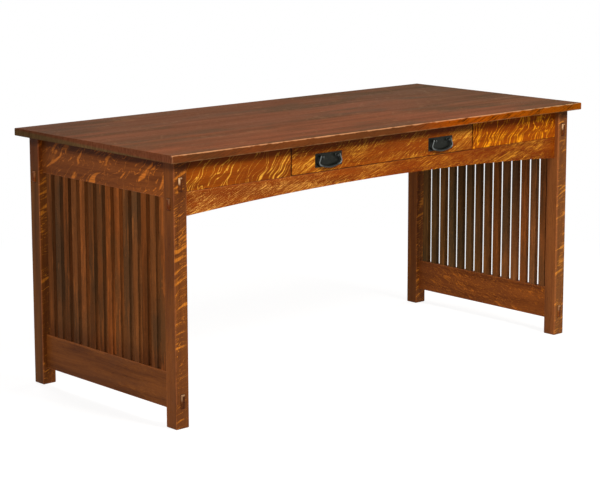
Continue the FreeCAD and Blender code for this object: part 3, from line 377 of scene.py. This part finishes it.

# The dark rim of a mortise and its reach, and the painted highlight on a through tenon's bevels:
# how far they look up or aside, and how far below the tenon's upper edge the side ones fade
HOLE_DARK = (26, 14, 8)
HOLE_RIM = (0.0004, 0.0022)
BEVEL_HIGHLIGHT = (228, 184, 136)
BEVEL_UP, BEVEL_ASIDE = (0.25, 0.6), (0.3, 0.6)
BELOW_CROWN = (0.022, 0.010)

# How far the wood's pores and flecks, and the fire scale, stand out, in metres
RELIEF = 0.0003


def painted_overhang_shade(amount):
    """Painted shade just under the tabletop's overhang on an outer piece, at a given strength."""
    tint = tuple(1 - amount * (1 - part) for part in PAINTED_SHADE_TINT)
    return ((0, 0, 1), UNDER_TOP - PAINTED_SHADE_BELOW[0], UNDER_TOP - PAINTED_SHADE_BELOW[1], tint)


def oak(node, seed, along, across, look, boards=None, edges=None, arris=(160, 92, 52),
        arris_amount=0.4, arris_width=0.004, arris_zones=(), tenons=None, mortises=(),
        tone=(1.0, 1.0, 1.0), gloss=0.05, stains_and_shade=(), **flecks):
    """Stained and oiled oak for one CAD node, with its own grain and flecks, and marked arrises.

    boards are the seams of a glued-up board, as shares across it, and a tint for each board.
    edges is the look and the flecks of its upright faces, and the places along X between which
    they turn from the face's look into their own. The arris colour marks wear, painted shade or a
    painted highlight along the arrises, as each piece is given. Each arris zone is an axis, the
    places between which the arris mark comes in, and the share of it before them. tenons is the
    axis that its through tenons run along, how far out their bevels begin, how strong the painted
    highlight on the upper and the side bevels is, and the height of their upper edge. mortises are
    the centres and half sizes of the holes that tenons come through, whose rims are dark.
    Each of stains_and_shade is a direction, the places along it between which it comes in, and
    the tint that it multiplies the wood by: some are stains and some are painted shade.
    """
    material, bench, shader = new_material("oak_" + node)
    place = bench.place("ShaderNodeTexCoord").outputs
    spot = dict(zip("xyz", bench.ends(place["Object"])))
    facing = dict(zip("xyz", bench.ends(place["Normal"])))
    low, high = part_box(node)
    laid = None
    if boards:
        seams, tints = boards
        side = AXES[across]
        share = bench.share(spot[across], low.dot(side), high.dot(side))
        shifts = [(seam, (BOARD_SHIFT * number,) * 3 + (1.0,)) for number, seam in enumerate(seams)]
        laid = bench.steps(share, list(zip(seams, tints))), bench.steps(share, shifts)
    wood = lay_grain(bench, place, seed, along, across, look, tone, flecks, laid)
    shade, rough, height = wood["Color"], wood["Roughness"], wood["Height"]
    if edges:
        edge_look, edge_flecks, turns = edges
        wood = lay_grain(bench, place, seed, "x", "z", edge_look, tone, edge_flecks)
        flat = bench.fade(bench.sum("ABSOLUTE", facing["z"]), *SQUARE_ON)
        fronted = bench.fade(bench.sum("ABSOLUTE", facing["y"]), *SQUARE_ON)
        plain = bench.fade(spot["x"], *turns, 0.85, 0.0)
        pale = bench.blend(1.0, shade, bench.blend(fronted, END_TINT, EDGE_TINT), "MULTIPLY")
        shade = bench.blend(flat, bench.blend(plain, wood["Color"], pale), shade)

    # Near the arrises, the arris colour: wear, painted shade along seams and slat edges, or a
    # painted highlight on the tabletop's front
    arris_marking = bench.place("ShaderNodeGroup", node_tree=arris_group)
    for key, value in {"Vector": place["Object"], "Centre": (low + high) / 2,
                       "Half": (high - low) / 2, "Width": arris_width}.items():
        bench.feed(arris_marking.inputs[key], value)
    wear_and_light = bench.sum("MULTIPLY", arris_marking.outputs["Arris Mask"], arris_amount)
    for axis, start, full, before in arris_zones:
        way = spot[axis]
        if start > full:
            way, start, full = bench.sum("MULTIPLY", way, -1.0), -start, -full
        wear_and_light = bench.sum("MULTIPLY", wear_and_light, bench.fade(way, start, full, before))
    shade = bench.blend(wear_and_light, shade, colour(*arris))

    for centre, half in mortises:
        out = bench.arrow("ABSOLUTE", bench.arrow("SUBTRACT", place["Object"], centre))
        x, y, z = bench.ends(bench.arrow("SUBTRACT", out, half))
        rim = bench.sum("MAXIMUM", x, bench.sum("MAXIMUM", y, z))
        shade = bench.blend(bench.fade(rim, *HOLE_RIM, 0.85, 0.0), shade, colour(*HOLE_DARK))
    # Painted highlight on the upper and the side bevels of the through tenons
    if tenons:
        axis, start, top_share, side_share, crown = tenons
        out = bench.sum("ABSOLUTE", spot[axis])
        aside = bench.sum("MULTIPLY", facing["y" if axis == "x" else "x"], -1.0)
        upper = bench.fade(spot["z"], crown - BELOW_CROWN[0], crown - BELOW_CROWN[1])
        sides = bench.sum("MULTIPLY", bench.fade(aside, *BEVEL_ASIDE, 0.0, side_share), upper)
        tops = bench.fade(facing["z"], *BEVEL_UP, 0.0, top_share)
        lit = bench.sum("MULTIPLY", bench.sum("GREATER_THAN", out, start),
                        bench.sum("MAXIMUM", tops, sides))
        shade = bench.blend(lit, shade, colour(*BEVEL_HIGHLIGHT))
    # Stains, and painted shade such as the band under the tabletop's overhang
    for direction, start, full, tint in stains_and_shade:
        along_it = bench.measure("DOT_PRODUCT", place["Object"], direction)
        shade = bench.blend(bench.fade(along_it, start, full), shade, (*tint, 1.0), "MULTIPLY")

    bump = bench.place("ShaderNodeBump", {"Height": height, "Distance": RELIEF, "Strength": 0.6})
    for key, value in {"Base Color": shade, "Roughness": rough, "Normal": bump.outputs[0],
                       "Specular IOR Level": gloss}.items():
        bench.feed(shader.inputs[key], value)
    dress(nodes[node], material)


# The pulls' distance from the middle of the desk, the places on either side of a pull's own
# middle between which the painted highlight on its crest grows, and the highlight's colour
PULL_X = 0.23183775
CREST_HIGHLIGHT_ENDS = (0.026, 0.041)
CREST_HIGHLIGHT = (120, 126, 124)


def forged(name, black, rubbed, crest_highlight=0.0, gloss=0.3):
    """Dark forged metal, waxed, rubbed brighter in patches, and with a painted highlight along a
    bail's front crest that also stands for rubbing, strongest at its ends.
    """
    material, bench, shader = new_material(name)
    place = bench.place("ShaderNodeTexCoord").outputs
    scale = bench.place("ShaderNodeGroup", node_tree=forge_group)
    for key, value in {"Vector": place["Object"], "Black": colour(*black),
                       "Rubbed": colour(*rubbed)}.items():
        bench.feed(scale.inputs[key], value)
    # Painted highlight along the front crest, strongest towards the ends of a bail
    forward = bench.sum("MULTIPLY", bench.ends(place["Normal"])[1], -1.0)
    aside = bench.sum("ABSOLUTE", bench.ends(place["Object"])[0])
    apart = bench.sum("ABSOLUTE", bench.sum("SUBTRACT", aside, PULL_X))
    bright = bench.sum("MULTIPLY", bench.fade(forward, 0.6, 0.98, 0.0, crest_highlight),
                       bench.fade(apart, *CREST_HIGHLIGHT_ENDS, 0.1, 1.0))
    shade = bench.blend(bright, scale.outputs["Color"], colour(*CREST_HIGHLIGHT))
    bump = bench.place("ShaderNodeBump", {"Height": scale.outputs["Height"], "Distance": RELIEF,
                                          "Strength": 0.5})
    for key, value in {"Base Color": shade, "Roughness": scale.outputs["Roughness"],
                       "Normal": bump.outputs[0], "Metallic": 0.55,
                       "Specular IOR Level": gloss}.items():
        bench.feed(shader.inputs[key], value)
    return material


# The top: six boards, their seams as shares of the depth from the front. It is browner to the
# right and darker at its far left corner, and its back edge is paler

TOP_SEAMS = (0.0, 0.17, 0.36, 0.51, 0.67, 0.85)
TOP_TINTS = [(1.27, 1.10, 0.98, 1), (1.22, 1.10, 0.98, 1), (0.98, 0.98, 0.98, 1),
             (1.08, 1.05, 1.05, 1), (0.86, 0.94, 1.0, 1), (0.92, 0.97, 1.0, 1)]
TOP_LOOK = {"base": (126, 74, 44), "dark": (107, 64, 40), "fleck": (150, 100, 56),
            "patch": (90, 64, 40), "patch_amount": 0.7}
TOP_EDGE_LOOK = {"base": (176, 82, 8), "dark": (132, 58, 6), "fleck": (62, 28, 6),
                 "patch": (124, 60, 10), "patch_amount": 0.5}
TOP_EDGE_FLECKS = {"fleck_amount": 1.0, "fleck_width": 0.015, "fleck_cover": 0.02, "slant": -2.4,
                   "strand": 0.03, "curl": 0.03}
TOP_STAINS = (((1, 0, 0), 0.15, 0.85, (0.76, 0.93, 0.95)),
              ((-1, 1, 0), 0.75, 1.15, (0.68, 0.68, 0.66)),
              ((0, 1, -40), -30.11, -29.80, (0.86, 1.45, 1.35)))
# The pale mark on the top's front upper arris is wear with a painted highlight
oak("tabletop", 1.3, "x", "y", TOP_LOOK, boards=(TOP_SEAMS, TOP_TINTS), arris=(216, 152, 104),
    arris_amount=0.75, arris_zones=(("z", 0.757, 0.760, 0.25), ("y", -0.360, -0.366, 0.0)),
    gloss=0.002, stains_and_shade=TOP_STAINS, edges=(TOP_EDGE_LOOK, TOP_EDGE_FLECKS, (0.0, 0.27)),
    fleck_amount=0.30, fleck_width=0.03, fleck_length=0.05, slant=-0.6, fleck_cover=-0.04,
    strand=0.012)

# The legs' middles, and places just outside their outer faces. For the through tenons, half
# the thickness, half a length that reaches through a leg, and the middle and half the height

LEG_X, LEG_Y = 0.7874, 0.314325
OUTSIDE_X, OUTSIDE_Y = 0.8098, 0.3367
TENON_HALF, THROUGH_LEG = 0.00635, 0.03
UPPER_TENON, LOWER_TENON, FRONT_TENON = (0.67555, 0.01905), (0.07695, 0.01905), (0.62225, 0.015875)
FRONT_TENONS = ("x", OUTSIDE_X, 0.12, 0.12, sum(FRONT_TENON))

# The front row and the back apron

# Painted shade as a dark line along every arris of a front piece, where the pieces meet across gaps
GAP_SHADE = {"arris": (46, 22, 8), "arris_amount": 0.8, "arris_width": 0.0025}
PANEL_FLECKS = {"fleck_amount": 0.95, "fleck_width": 0.013, "fleck_length": 0.10,
                "fleck_cover": -0.02, "strand": 0.028, "curl": 0.05}
RAIL_LOOK = {"base": (162, 74, 15), "dark": (104, 42, 8), "fleck": (255, 178, 84),
             "patch": (136, 58, 15), "patch_amount": 0.6}
# The front pieces also carry the painted shade under the tabletop's overhang
oak("front_panel_left", 2.1, "x", "z", FRONT_LOOK, stains_and_shade=(painted_overhang_shade(0.8),), **GAP_SHADE,
    **{**PANEL_FLECKS, "fleck_amount": 1.0, "fleck_width": 0.019, "fleck_length": 0.12,
       "slant": -0.8, "fleck_cover": -0.03, "strand": 0.03})
oak("front_panel_right", 5.2, "x", "z", {**FRONT_LOOK, "fleck": (255, 172, 28)},
    stains_and_shade=(painted_overhang_shade(0.4),), tone=(1.08, 1.0, 0.8), gloss=0.03, **GAP_SHADE,
    **{**PANEL_FLECKS, "fleck_width": 0.016, "slant": -0.6, "fleck_cover": -0.035,
       "strand": 0.03})
oak("drawer_front", 8.4, "x", "z", FRONT_LOOK, stains_and_shade=(painted_overhang_shade(0.8),), tone=(0.95, 0.93, 0.9),
    fleck_amount=0.95, fleck_width=0.008, fleck_length=0.05, slant=-1.6, fleck_cover=-0.05,
    strand=0.03, curl=0.04, **GAP_SHADE)
oak("front_rail", 3.7, "x", "z", RAIL_LOOK, tenons=FRONT_TENONS, tone=(1.03, 1.14, 1.08),
    stains_and_shade=(((1, 0, 0), -0.6, 0.2, (0.73, 0.60, 0.25)),), fleck_amount=1.0, fleck_width=0.007,
    fleck_length=0.020, slant=-2.6, fleck_cover=-0.03, strand=0.025, curl=0.04)
oak("back_apron", 9.9, "x", "z", FRONT_LOOK, tenons=FRONT_TENONS,
    **{**PANEL_FLECKS, "slant": -0.7})

# The legs and the side rails

LEG_FLECKS = {"fleck_amount": 0.85, "fleck_width": 0.012, "fleck_length": 0.10, "slant": -0.35,
              "fleck_cover": -0.01, "strand": 0.012, "curl": 0.015}
# Each leg's tone: the right legs' are lifted as painted light where the desk shades them
LEG_TONES_AND_LIGHT = {"leg_front_left": (1.0, 1.02, 1.1), "leg_front_right": (1.54, 1.70, 2.4),
             "leg_back_left": (1.0, 1.03, 1.05), "leg_back_right": (1.3, 1.38, 1.4)}
# The front right leg's stain darkens all but its inner face, painted shade that with its lifted
# tone gives lit and shaded faces; the front left leg is darker towards its top, and the back left
# one towards its back and top
LEG_STAINS_AND_SHADE = {"leg_front_left": (((0, 0, 1), 0.58, 0.70, (0.84, 0.80, 0.82)),),
              "leg_front_right": (((1, 0, 0), 0.7655, 0.775, (0.63, 0.67, 0.65)),),
              "leg_back_left": (((0, 1, 0), 0.2925, 0.300, (0.68, 0.76, 0.80)),
                                ((0, 0, 1), 0.56, 0.70, (0.72, 0.58, 0.56))),
              "leg_back_right": ()}
# Each leg also carries the painted shade under the overhang
for number, (name, tone) in enumerate(LEG_TONES_AND_LIGHT.items()):
    x = LEG_X if "right" in name else -LEG_X
    y = LEG_Y if "back" in name else -LEG_Y
    holes = [((x, y, middle), (TENON_HALF, THROUGH_LEG, half))
             for middle, half in (UPPER_TENON, LOWER_TENON)]
    holes.append(((x, y, FRONT_TENON[0]), (THROUGH_LEG, TENON_HALF, FRONT_TENON[1])))
    oak(name, 11.0 + 2.3 * number, "z", "x", FRAME_LOOK, mortises=holes, tone=tone,
        stains_and_shade=(painted_overhang_shade(0.6),) + LEG_STAINS_AND_SHADE[name], **LEG_FLECKS)

# Each lower rail's tone and fleck amount: the right rail's tone is lifted as painted light where
# the desk shades it
LOWER_RAILS = {"left": ((0.88, 0.9, 0.95), 0.1), "right": ((1.6, 1.5, 1.5), 0.45)}
for number, (side, (tone, fleck_amount)) in enumerate(LOWER_RAILS.items()):
    # The upper rails carry the painted shade under the overhang, and are darker towards the back
    oak("side_rail_upper_" + side, 21.0 + 1.9 * number, "y", "z",
        {**FRAME_LOOK, "fleck": (232, 136, 48)}, tone=(1.08, 1.0, 0.98),
        tenons=("y", OUTSIDE_Y, 0.45, 0.8, sum(UPPER_TENON)),
        stains_and_shade=(painted_overhang_shade(0.8), ((0, 1, 0), -0.15, 0.20, (0.74, 0.76, 0.84))),
        fleck_amount=0.8, fleck_width=0.03, fleck_length=0.06, slant=0.9, fleck_cover=-0.01,
        strand=0.010, curl=0.06)
    oak("side_rail_lower_" + side, 26.0 + 3.1 * number, "y", "z", FRAME_LOOK, tone=tone,
        tenons=("y", OUTSIDE_Y, 0.35, 0.25, sum(LOWER_TENON)), fleck_amount=fleck_amount,
        fleck_width=0.02, fleck_length=0.015, slant=-2.0, fleck_cover=-0.05, strand=0.02)

# The slats: each has its own lift, warmth and seed, drawn between these ends

SLAT_COUNT = 14
SLAT_LOW, SLAT_HIGH = (0.81, -1, 30), (1.33, 1, 90)
# Each end's lift: the right end's is painted light inside the desk, where the slats are shaded
SLAT_LIGHT_LIFTS = {"left": 1.0, "right": 1.8}
# Painted shade: the left slats darker towards the bottom, under the lower rail, and towards the
# back; the right slats darker towards the back and towards the top, under the tabletop
SLAT_PAINTED_SHADE = {"left": (((0, 0, -1), -0.22, -0.16, (0.74, 0.70, 0.74)),
                        ((0, 1, 0), -0.05, 0.30, (0.78, 0.78, 0.84))),
               "right": (((0, 1, 0), -0.25, 0.12, (0.42, 0.62, 0.75)),
                         ((0, 0, 1), 0.20, 0.60, (0.57, 0.61, 0.68)))}
generator = np.random.default_rng(7)
for side, side_light_lift in SLAT_LIGHT_LIFTS.items():
    for number in range(1, SLAT_COUNT + 1):
        lift, warmth, seed = generator.uniform(SLAT_LOW, SLAT_HIGH)
        lift *= side_light_lift
        tone = (lift * (1 + 0.12 * warmth), lift, lift * (1 - 0.15 * warmth))
        # The dark arris colour on the slats is painted shade along their edges
        oak("slat_%s_%02d" % (side, number), float(seed), "z", "y", SLAT_LOOK, tone=tone,
            arris=(52, 37, 17), arris_amount=0.5, arris_width=0.0025, gloss=0.01,
            stains_and_shade=SLAT_PAINTED_SHADE[side], fleck_amount=0.5, fleck_width=0.09, fleck_length=0.006,
            slant=0.0)

# The drawer's box and the fittings under the top, with the axes along and across their grain

INNER_GRAINS = {"drawer_side_left": "yz", "drawer_side_right": "yz", "drawer_back": "xz",
                "drawer_bottom": "xy", "drawer_stop_block": "xz", "drawer_runner_left": "yz",
                "drawer_runner_right": "yz", "drawer_kicker_left": "yx",
                "drawer_kicker_right": "yx", "drawer_stop_cleat": "xy", "top_buttons": "xy"}
for number, (name, (along, across)) in enumerate(INNER_GRAINS.items()):
    oak(name, 100.0 + 1.7 * number, along, across, INNER_LOOK, arris=(214, 184, 140),
        arris_amount=0.3, fleck_amount=0.15)

# The pulls and the metal of the small fittings

iron = forged("dark_iron", (22, 24, 18), (37, 39, 32))
# Iron for the bails and posts, with a painted highlight along their front crests
highlit_rubbed_iron = forged("highlit_rubbed_iron", (22, 25, 21), (46, 49, 44), crest_highlight=0.75, gloss=0.4)
steel = forged("screw_steel", (120, 116, 108), (160, 156, 148))
for name in ("top_screws", "pull_nuts"):
    dress(nodes[name], steel)

# The places and sizes of the pulls' plates, hammer marks, posts and bails, in metres

POLE_GAP = 0.000002
PULL_PLACES = {"left": -PULL_X, "right": PULL_X}
PULL_Z = 0.694775
PLATE_Y = -0.3242625
PIVOT_Y = PLATE_Y - 0.0065
PLATE_SIZE = (0.104, 0.002, 0.040)
PLATE_TOP = 0.705275
PLATE_CORNER = 0.0016
PLATE_SEEDS = {"left": 3, "right": 4}
MARKS = {"count": 120, "radius": 0.006, "depth": 0.00022}
RIM = {"from": 0.965, "over": 0.035, "fall": 0.0007}
POST_HALF = 0.028575
ARM_X = 0.036675
BAIL = {"drop": 0.030, "half_width": 0.0435, "corner": 0.008, "sweep": 0.100, "rise": 0.003,
        "radius": 0.0028, "swell": 0.0005, "swell_from": 0.004, "swell_over": 0.012}

# Profiles of a bail's pin and of a post, as radius and distance along the axis

PIN_PROFILE = [(0.0, -0.0001), (0.0016, -0.0001), (0.0017, 0.0125), (0.0012, 0.013),
               (0.0, 0.013)]
POST_PROFILE = [(0.0, -0.0255), (0.0019, -0.0250), (0.0021, -0.0240), (0.0021, 0.0),
                (0.0054, 0.0), (0.0056, 0.0004), (0.0053, 0.0010), (0.0040, 0.0016),
                (0.0032, 0.0022), (0.0034, 0.0028), (0.0040, 0.0038), (0.0044, 0.0052),
                (0.0044, 0.0078), (0.0040, 0.0094), (0.0031, 0.0104), (0.0016, 0.0109),
                (0.0, 0.0110)]


def mesh_piece(name, grids, material):
    """One object from closed grids of points, whose rows wrap round and whose ends are capped.

    A ring with no radius becomes one point, so each pole is closed.
    """
    points, faces, start = [], [], 0
    for grid in grids:
        rows, around = grid.shape[:2]
        index = start + np.arange(rows * around).reshape(rows, around)
        turned = np.roll(index, -1, axis=1)
        quads = np.stack([index[:-1], turned[:-1], turned[1:], index[1:]], axis=-1)
        points.append(grid.reshape(-1, 3))
        faces += quads.reshape(-1, 4).tolist() + [index[0][::-1].tolist(), index[-1].tolist()]
        start += rows * around
    mesh = bpy.data.meshes.new(name)
    mesh.from_pydata(np.concatenate(points).tolist(), [], faces)
    work = bmesh.new()
    work.from_mesh(mesh)
    bmesh.ops.remove_doubles(work, verts=work.verts, dist=POLE_GAP)
    bmesh.ops.recalc_face_normals(work, faces=work.faces)
    work.to_mesh(mesh)
    work.free()
    mesh.validate()
    mesh.shade_smooth()
    piece = bpy.data.objects.new(name, mesh)
    bpy.context.scene.collection.objects.link(piece)
    dress(piece, material)
    return piece


def rounded_outline(width, height, corner, count):
    """Points round a rectangle with round corners, as X and Z, evenly spaced by their turn.

    Each corner's centre is set in by its radius, and the outline is that centre plus the radius
    times the sine and cosine of a turn that runs through a quarter in each corner.
    """
    turn = (np.arange(count) + 0.5) / count * 2 * math.pi
    quarter = np.floor(turn / (math.pi / 2)) % 4
    sign_x = np.where((quarter == 0) | (quarter == 3), 1, -1)
    sign_z = np.where(quarter < 2, 1, -1)
    x = sign_x * (width / 2 - corner) + corner * np.cos(turn)
    z = sign_z * (height / 2 - corner) + corner * np.sin(turn)
    return x, z


def beaten_plate(name, centre, seed):
    """A back plate beaten flat with a hammer.

    The plate is its rounded outline drawn in towards the middle in steps. Each hammer mark is a
    shallow round dent about a seeded centre, as deep as one less the squared share of its
    radius, and at each point the deepest mark counts. The rim falls back with the square of
    how far out it lies.
    """
    width, thick, height = PLATE_SIZE
    x, z = rounded_outline(width, height, PLATE_CORNER, 160)
    steps = np.concatenate([[0.0, 0.02], np.linspace(0.06, 0.95, 26), [0.975, 0.99, 1.0]])[:, None]
    corner = (width / 2, height / 2)
    marks = np.random.default_rng(seed).uniform(np.negative(corner), corner, (MARKS["count"], 2))
    face_x, face_z = steps * x, steps * z
    gap = np.hypot(face_x[..., None] - marks[:, 0], face_z[..., None] - marks[:, 1])
    dent = np.maximum(1 - (gap / MARKS["radius"]) ** 2, 0).max(axis=-1) * MARKS["depth"]
    edge = np.clip((steps - RIM["from"]) / RIM["over"], 0, 1) ** 2 * RIM["fall"]
    face = np.stack([face_x, -thick + dent + edge, face_z], axis=-1)
    rim = np.stack([x, np.full_like(x, -0.0001), z], axis=-1)[None]
    back = np.stack([x * 0.99, np.zeros_like(x), z * 0.99], axis=-1)[None]
    grid = np.concatenate([face, rim, back]) + np.array(centre)
    return mesh_piece(name, [grid], iron)


def turned_grid(profile, centre, axis, count=28):
    """A profile of radius and distance turned once round an axis through a centre.

    Each ring is the centre, plus the distance along the axis, plus the radius times the cosine
    and sine of the turn in the two directions square to it.
    """
    profile = np.array(profile)
    axis = np.array(axis, float)
    side = np.cross(axis, (0, 0, 1.0))
    up = np.cross(side, axis)
    turn = np.arange(count) / count * 2 * math.pi
    ring = np.cos(turn)[:, None] * side + np.sin(turn)[:, None] * up
    radius, distance = profile[:, 0, None, None], profile[:, 1, None, None]
    return np.array(centre) + distance * axis + radius * ring


def bail_line(count=36):
    """The bail's centre line from its left arm's top to its right one's, as X and Z.

    From the middle, the grip is an arc about a centre high above, then each corner is a smaller
    arc that meets it with no kink, and the arm is the straight line that leaves that arc
    towards the top of the arm.
    """
    drop, corner, sweep, rise = (BAIL[key] for key in ("drop", "corner", "sweep", "rise"))
    x = BAIL["half_width"] - corner
    high = sweep - drop
    z = high - math.sqrt((sweep - corner) ** 2 - x ** 2)
    meet = math.atan2(z - high, x)
    span = math.hypot(ARM_X - x, rise - z)
    lean = math.atan2(rise - z, ARM_X - x)
    leave = lean - math.acos(corner / span)
    grip = np.linspace(-math.pi / 2, meet, count)
    turn = np.linspace(meet, leave, count // 2)[1:]
    arm = np.linspace(0, 1, 8)[1:, None]
    end = np.array([x + corner * math.cos(leave), z + corner * math.sin(leave)])
    top = np.array([ARM_X, rise])
    half = np.concatenate([
        np.stack([sweep * np.cos(grip), high + sweep * np.sin(grip)], axis=1),
        np.stack([x + corner * np.cos(turn), z + corner * np.sin(turn)], axis=1),
        end + (top - end) * arm])
    return np.concatenate([half[:0:-1] * (-1, 1), half])


def swept_rod(line, radii, count=24):
    """A round rod along a line in X and Z, with rounded ends.

    Each ring is the line's point, plus the radius times the cosine of the turn in the line's
    own sideways direction, plus the radius times the sine along Y. At each end, rings that
    shrink with the cosine of a turn and step out with its sine close the rod.
    """
    way = np.gradient(line, axis=0)
    way /= np.linalg.norm(way, axis=1)[:, None]
    cap = np.linspace(0, math.pi / 2, 7)[1:-1]
    first = line[0] - way[0] * (radii[0] * np.sin(cap[::-1]))[:, None]
    last = line[-1] + way[-1] * (radii[-1] * np.sin(cap))[:, None]
    points = np.concatenate([first, line, last])
    ways = np.concatenate([np.repeat(way[:1], len(cap), 0), way,
                           np.repeat(way[-1:], len(cap), 0)])
    sizes = np.concatenate([radii[0] * np.cos(cap[::-1]), radii, radii[-1] * np.cos(cap)])
    turn = -np.arange(count) / count * 2 * math.pi
    side = np.stack([ways[:, 1], np.zeros(len(ways)), -ways[:, 0]], axis=1)
    middle = np.stack([points[:, 0], np.zeros(len(points)), points[:, 1]], axis=1)
    ring = (np.cos(turn)[:, None] * side[:, None]
            + np.sin(turn)[:, None] * np.array([0, 1.0, 0]))
    return middle[:, None] + sizes[:, None, None] * ring


def make_pull(side, x):
    """A plate, a bail and its two pins at one end of the drawer front."""
    plate_centre = (x, PLATE_Y + PLATE_SIZE[1], PLATE_TOP - PLATE_SIZE[2] / 2)
    plate = beaten_plate("beaten_plate_" + side, plate_centre, PLATE_SEEDS[side])
    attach(plate, "drawer")
    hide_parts("pull_plate_" + side)
    line = bail_line()
    share = np.clip(np.abs(line[:, 0]) / BAIL["half_width"], 0, 1)
    low = np.clip((BAIL["swell_from"] - line[:, 1]) / BAIL["swell_over"], 0, 1)
    radii = BAIL["radius"] + BAIL["swell"] * np.cos(share * math.pi / 2) * low
    place = np.array([x, PIVOT_Y, PULL_Z])
    rod = swept_rod(line, radii) + place
    pins = [turned_grid(PIN_PROFILE, place + (way * ARM_X, 0, 0), (-way, 0, 0), 16)
            for way in (-1, 1)]
    bail = mesh_piece("forged_bail_" + side, [rod] + pins, highlit_rubbed_iron)
    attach(bail, "bail_" + side)
    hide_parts("pull_bail_" + side)


for side, x in PULL_PLACES.items():
    make_pull(side, x)
post_grids = [turned_grid(POST_PROFILE, (x + way * POST_HALF, PLATE_Y, PULL_Z), (0, -1, 0))
              for x in PULL_PLACES.values() for way in (-1, 1)]
posts = mesh_piece("turned_posts", post_grids, highlit_rubbed_iron)
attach(posts, "drawer")
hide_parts("pull_posts")

# The floor, the light and the camera. A lamp is its place, the point that it looks at, its
# size, its watts and its tint

FLOOR_REACH = 30
FLOOR_NEAR, FLOOR_FAR = 1.2, 2.2
WARM_WHITE = (1.0, 0.98, 0.96)
LAMPS = {"key": ((0.4, -3.8, 3.4), (0, -0.2, 0.6), 1.4, 186, (1.0, 0.97, 0.93)),
         "left_fill": ((-3.3, -0.7, 2.8), (-0.8, 0, 0.5), 1.2, 41, WARM_WHITE),
         "low_fill": ((-4.4, -2.2, 0.9), (0.6, 0, 0.3), 1.0, 58, WARM_WHITE),
         "back_fill": ((0.3, 3.6, 2.0), (0.3, 0, 0.4), 1.4, 50, WARM_WHITE),
         "right_fill": ((4.0, 0.8, 2.2), (0.8, 0, 0.4), 1.4, 36, WARM_WHITE)}
CAMERA = {"place": (-3.9401, -4.2816, 1.5242), "turns": (90 - 9.718, 0.067, -42.275),
          "lens": 114.86, "shift": -0.1}


def seen_directly(bench):
    """One where the camera, a reflection or clear glass looks, and nothing where light falls."""
    path = bench.place("ShaderNodeLightPath").outputs
    return bench.sum("MAXIMUM", path["Is Camera Ray"],
                     bench.sum("MAXIMUM", path["Is Glossy Ray"], path["Is Transmission Ray"]))


def make_floor():
    """A pale floor that takes the desk's shadow and fades to plain white away from it."""
    reach = FLOOR_REACH
    mesh = bpy.data.meshes.new("floor")
    mesh.from_pydata([(-reach, -reach, 0), (reach, -reach, 0), (reach, reach, 0),
                      (-reach, reach, 0)], [], [(0, 1, 2, 3)])
    floor = bpy.data.objects.new("floor", mesh)
    bpy.context.scene.collection.objects.link(floor)
    material = bpy.data.materials.new("pale_floor")
    bench = bare_bench(material)
    pale = bench.place("ShaderNodeBsdfDiffuse", {"Color": (0.48, 0.47, 0.46, 1)})
    lit = bench.place("ShaderNodeBsdfDiffuse", {"Color": (0.30, 0.30, 0.30, 1)})
    glow = bench.place("ShaderNodeEmission", {"Color": (1, 1, 1, 1), "Strength": 0.84})
    white = bench.place("ShaderNodeEmission", {"Color": (1, 1, 1, 1), "Strength": 1.0})
    near = bench.place("ShaderNodeAddShader", {0: lit.outputs[0], 1: glow.outputs[0]})
    place = bench.place("ShaderNodeTexCoord").outputs["Object"]
    away = bench.fade(bench.measure("LENGTH", place), FLOOR_NEAR, FLOOR_FAR)
    seen = bench.place("ShaderNodeMixShader", {0: away, 1: near.outputs[0], 2: white.outputs[0]})
    chosen = bench.place("ShaderNodeMixShader", {0: seen_directly(bench), 1: pale.outputs[0],
                                                 2: seen.outputs[0]})
    bench.place("ShaderNodeOutputMaterial", {"Surface": chosen.outputs[0]})
    dress(floor, material)


def make_world():
    """A plain soft light all round, white where the camera sees it."""
    world = bpy.data.worlds.new("studio")
    bpy.context.scene.world = world
    bench = bare_bench(world)
    soft = bench.place("ShaderNodeBackground", {"Color": (1.0, 0.985, 0.96, 1), "Strength": 0.11})
    white = bench.place("ShaderNodeBackground", {"Color": (1, 1, 1, 1), "Strength": 1.0})
    chosen = bench.place("ShaderNodeMixShader", {0: seen_directly(bench), 1: soft.outputs[0],
                                                 2: white.outputs[0]})
    bench.place("ShaderNodeOutputWorld", {"Surface": chosen.outputs[0]})


def soft_lamp(name, place, aim, size, watts, tint):
    """A square soft lamp that looks at a point."""
    lamp = bpy.data.lights.new(name, "AREA")
    lamp.size, lamp.energy, lamp.color = size, watts, tint
    holder = bpy.data.objects.new(name, lamp)
    holder.location = place
    holder.rotation_euler = (Vector(aim) - Vector(place)).to_track_quat("-Z", "Y").to_euler()
    bpy.context.scene.collection.objects.link(holder)


def make_camera():
    """The photograph's viewing angle."""
    lens = bpy.data.cameras.new("camera")
    lens.sensor_width, lens.sensor_fit, lens.lens = 36.0, "HORIZONTAL", CAMERA["lens"]
    lens.shift_x, lens.shift_y = 0.0, CAMERA["shift"]
    lens.clip_end = 200
    camera = bpy.data.objects.new("camera", lens)
    camera.location = CAMERA["place"]
    camera.rotation_euler = Euler([math.radians(turn) for turn in CAMERA["turns"]], "XYZ")
    bpy.context.scene.collection.objects.link(camera)
    bpy.context.scene.camera = camera


make_floor()
make_world()
for name, lamp in LAMPS.items():
    soft_lamp(name, *lamp)
make_camera()
bpy.context.scene.view_settings.view_transform = "Standard"
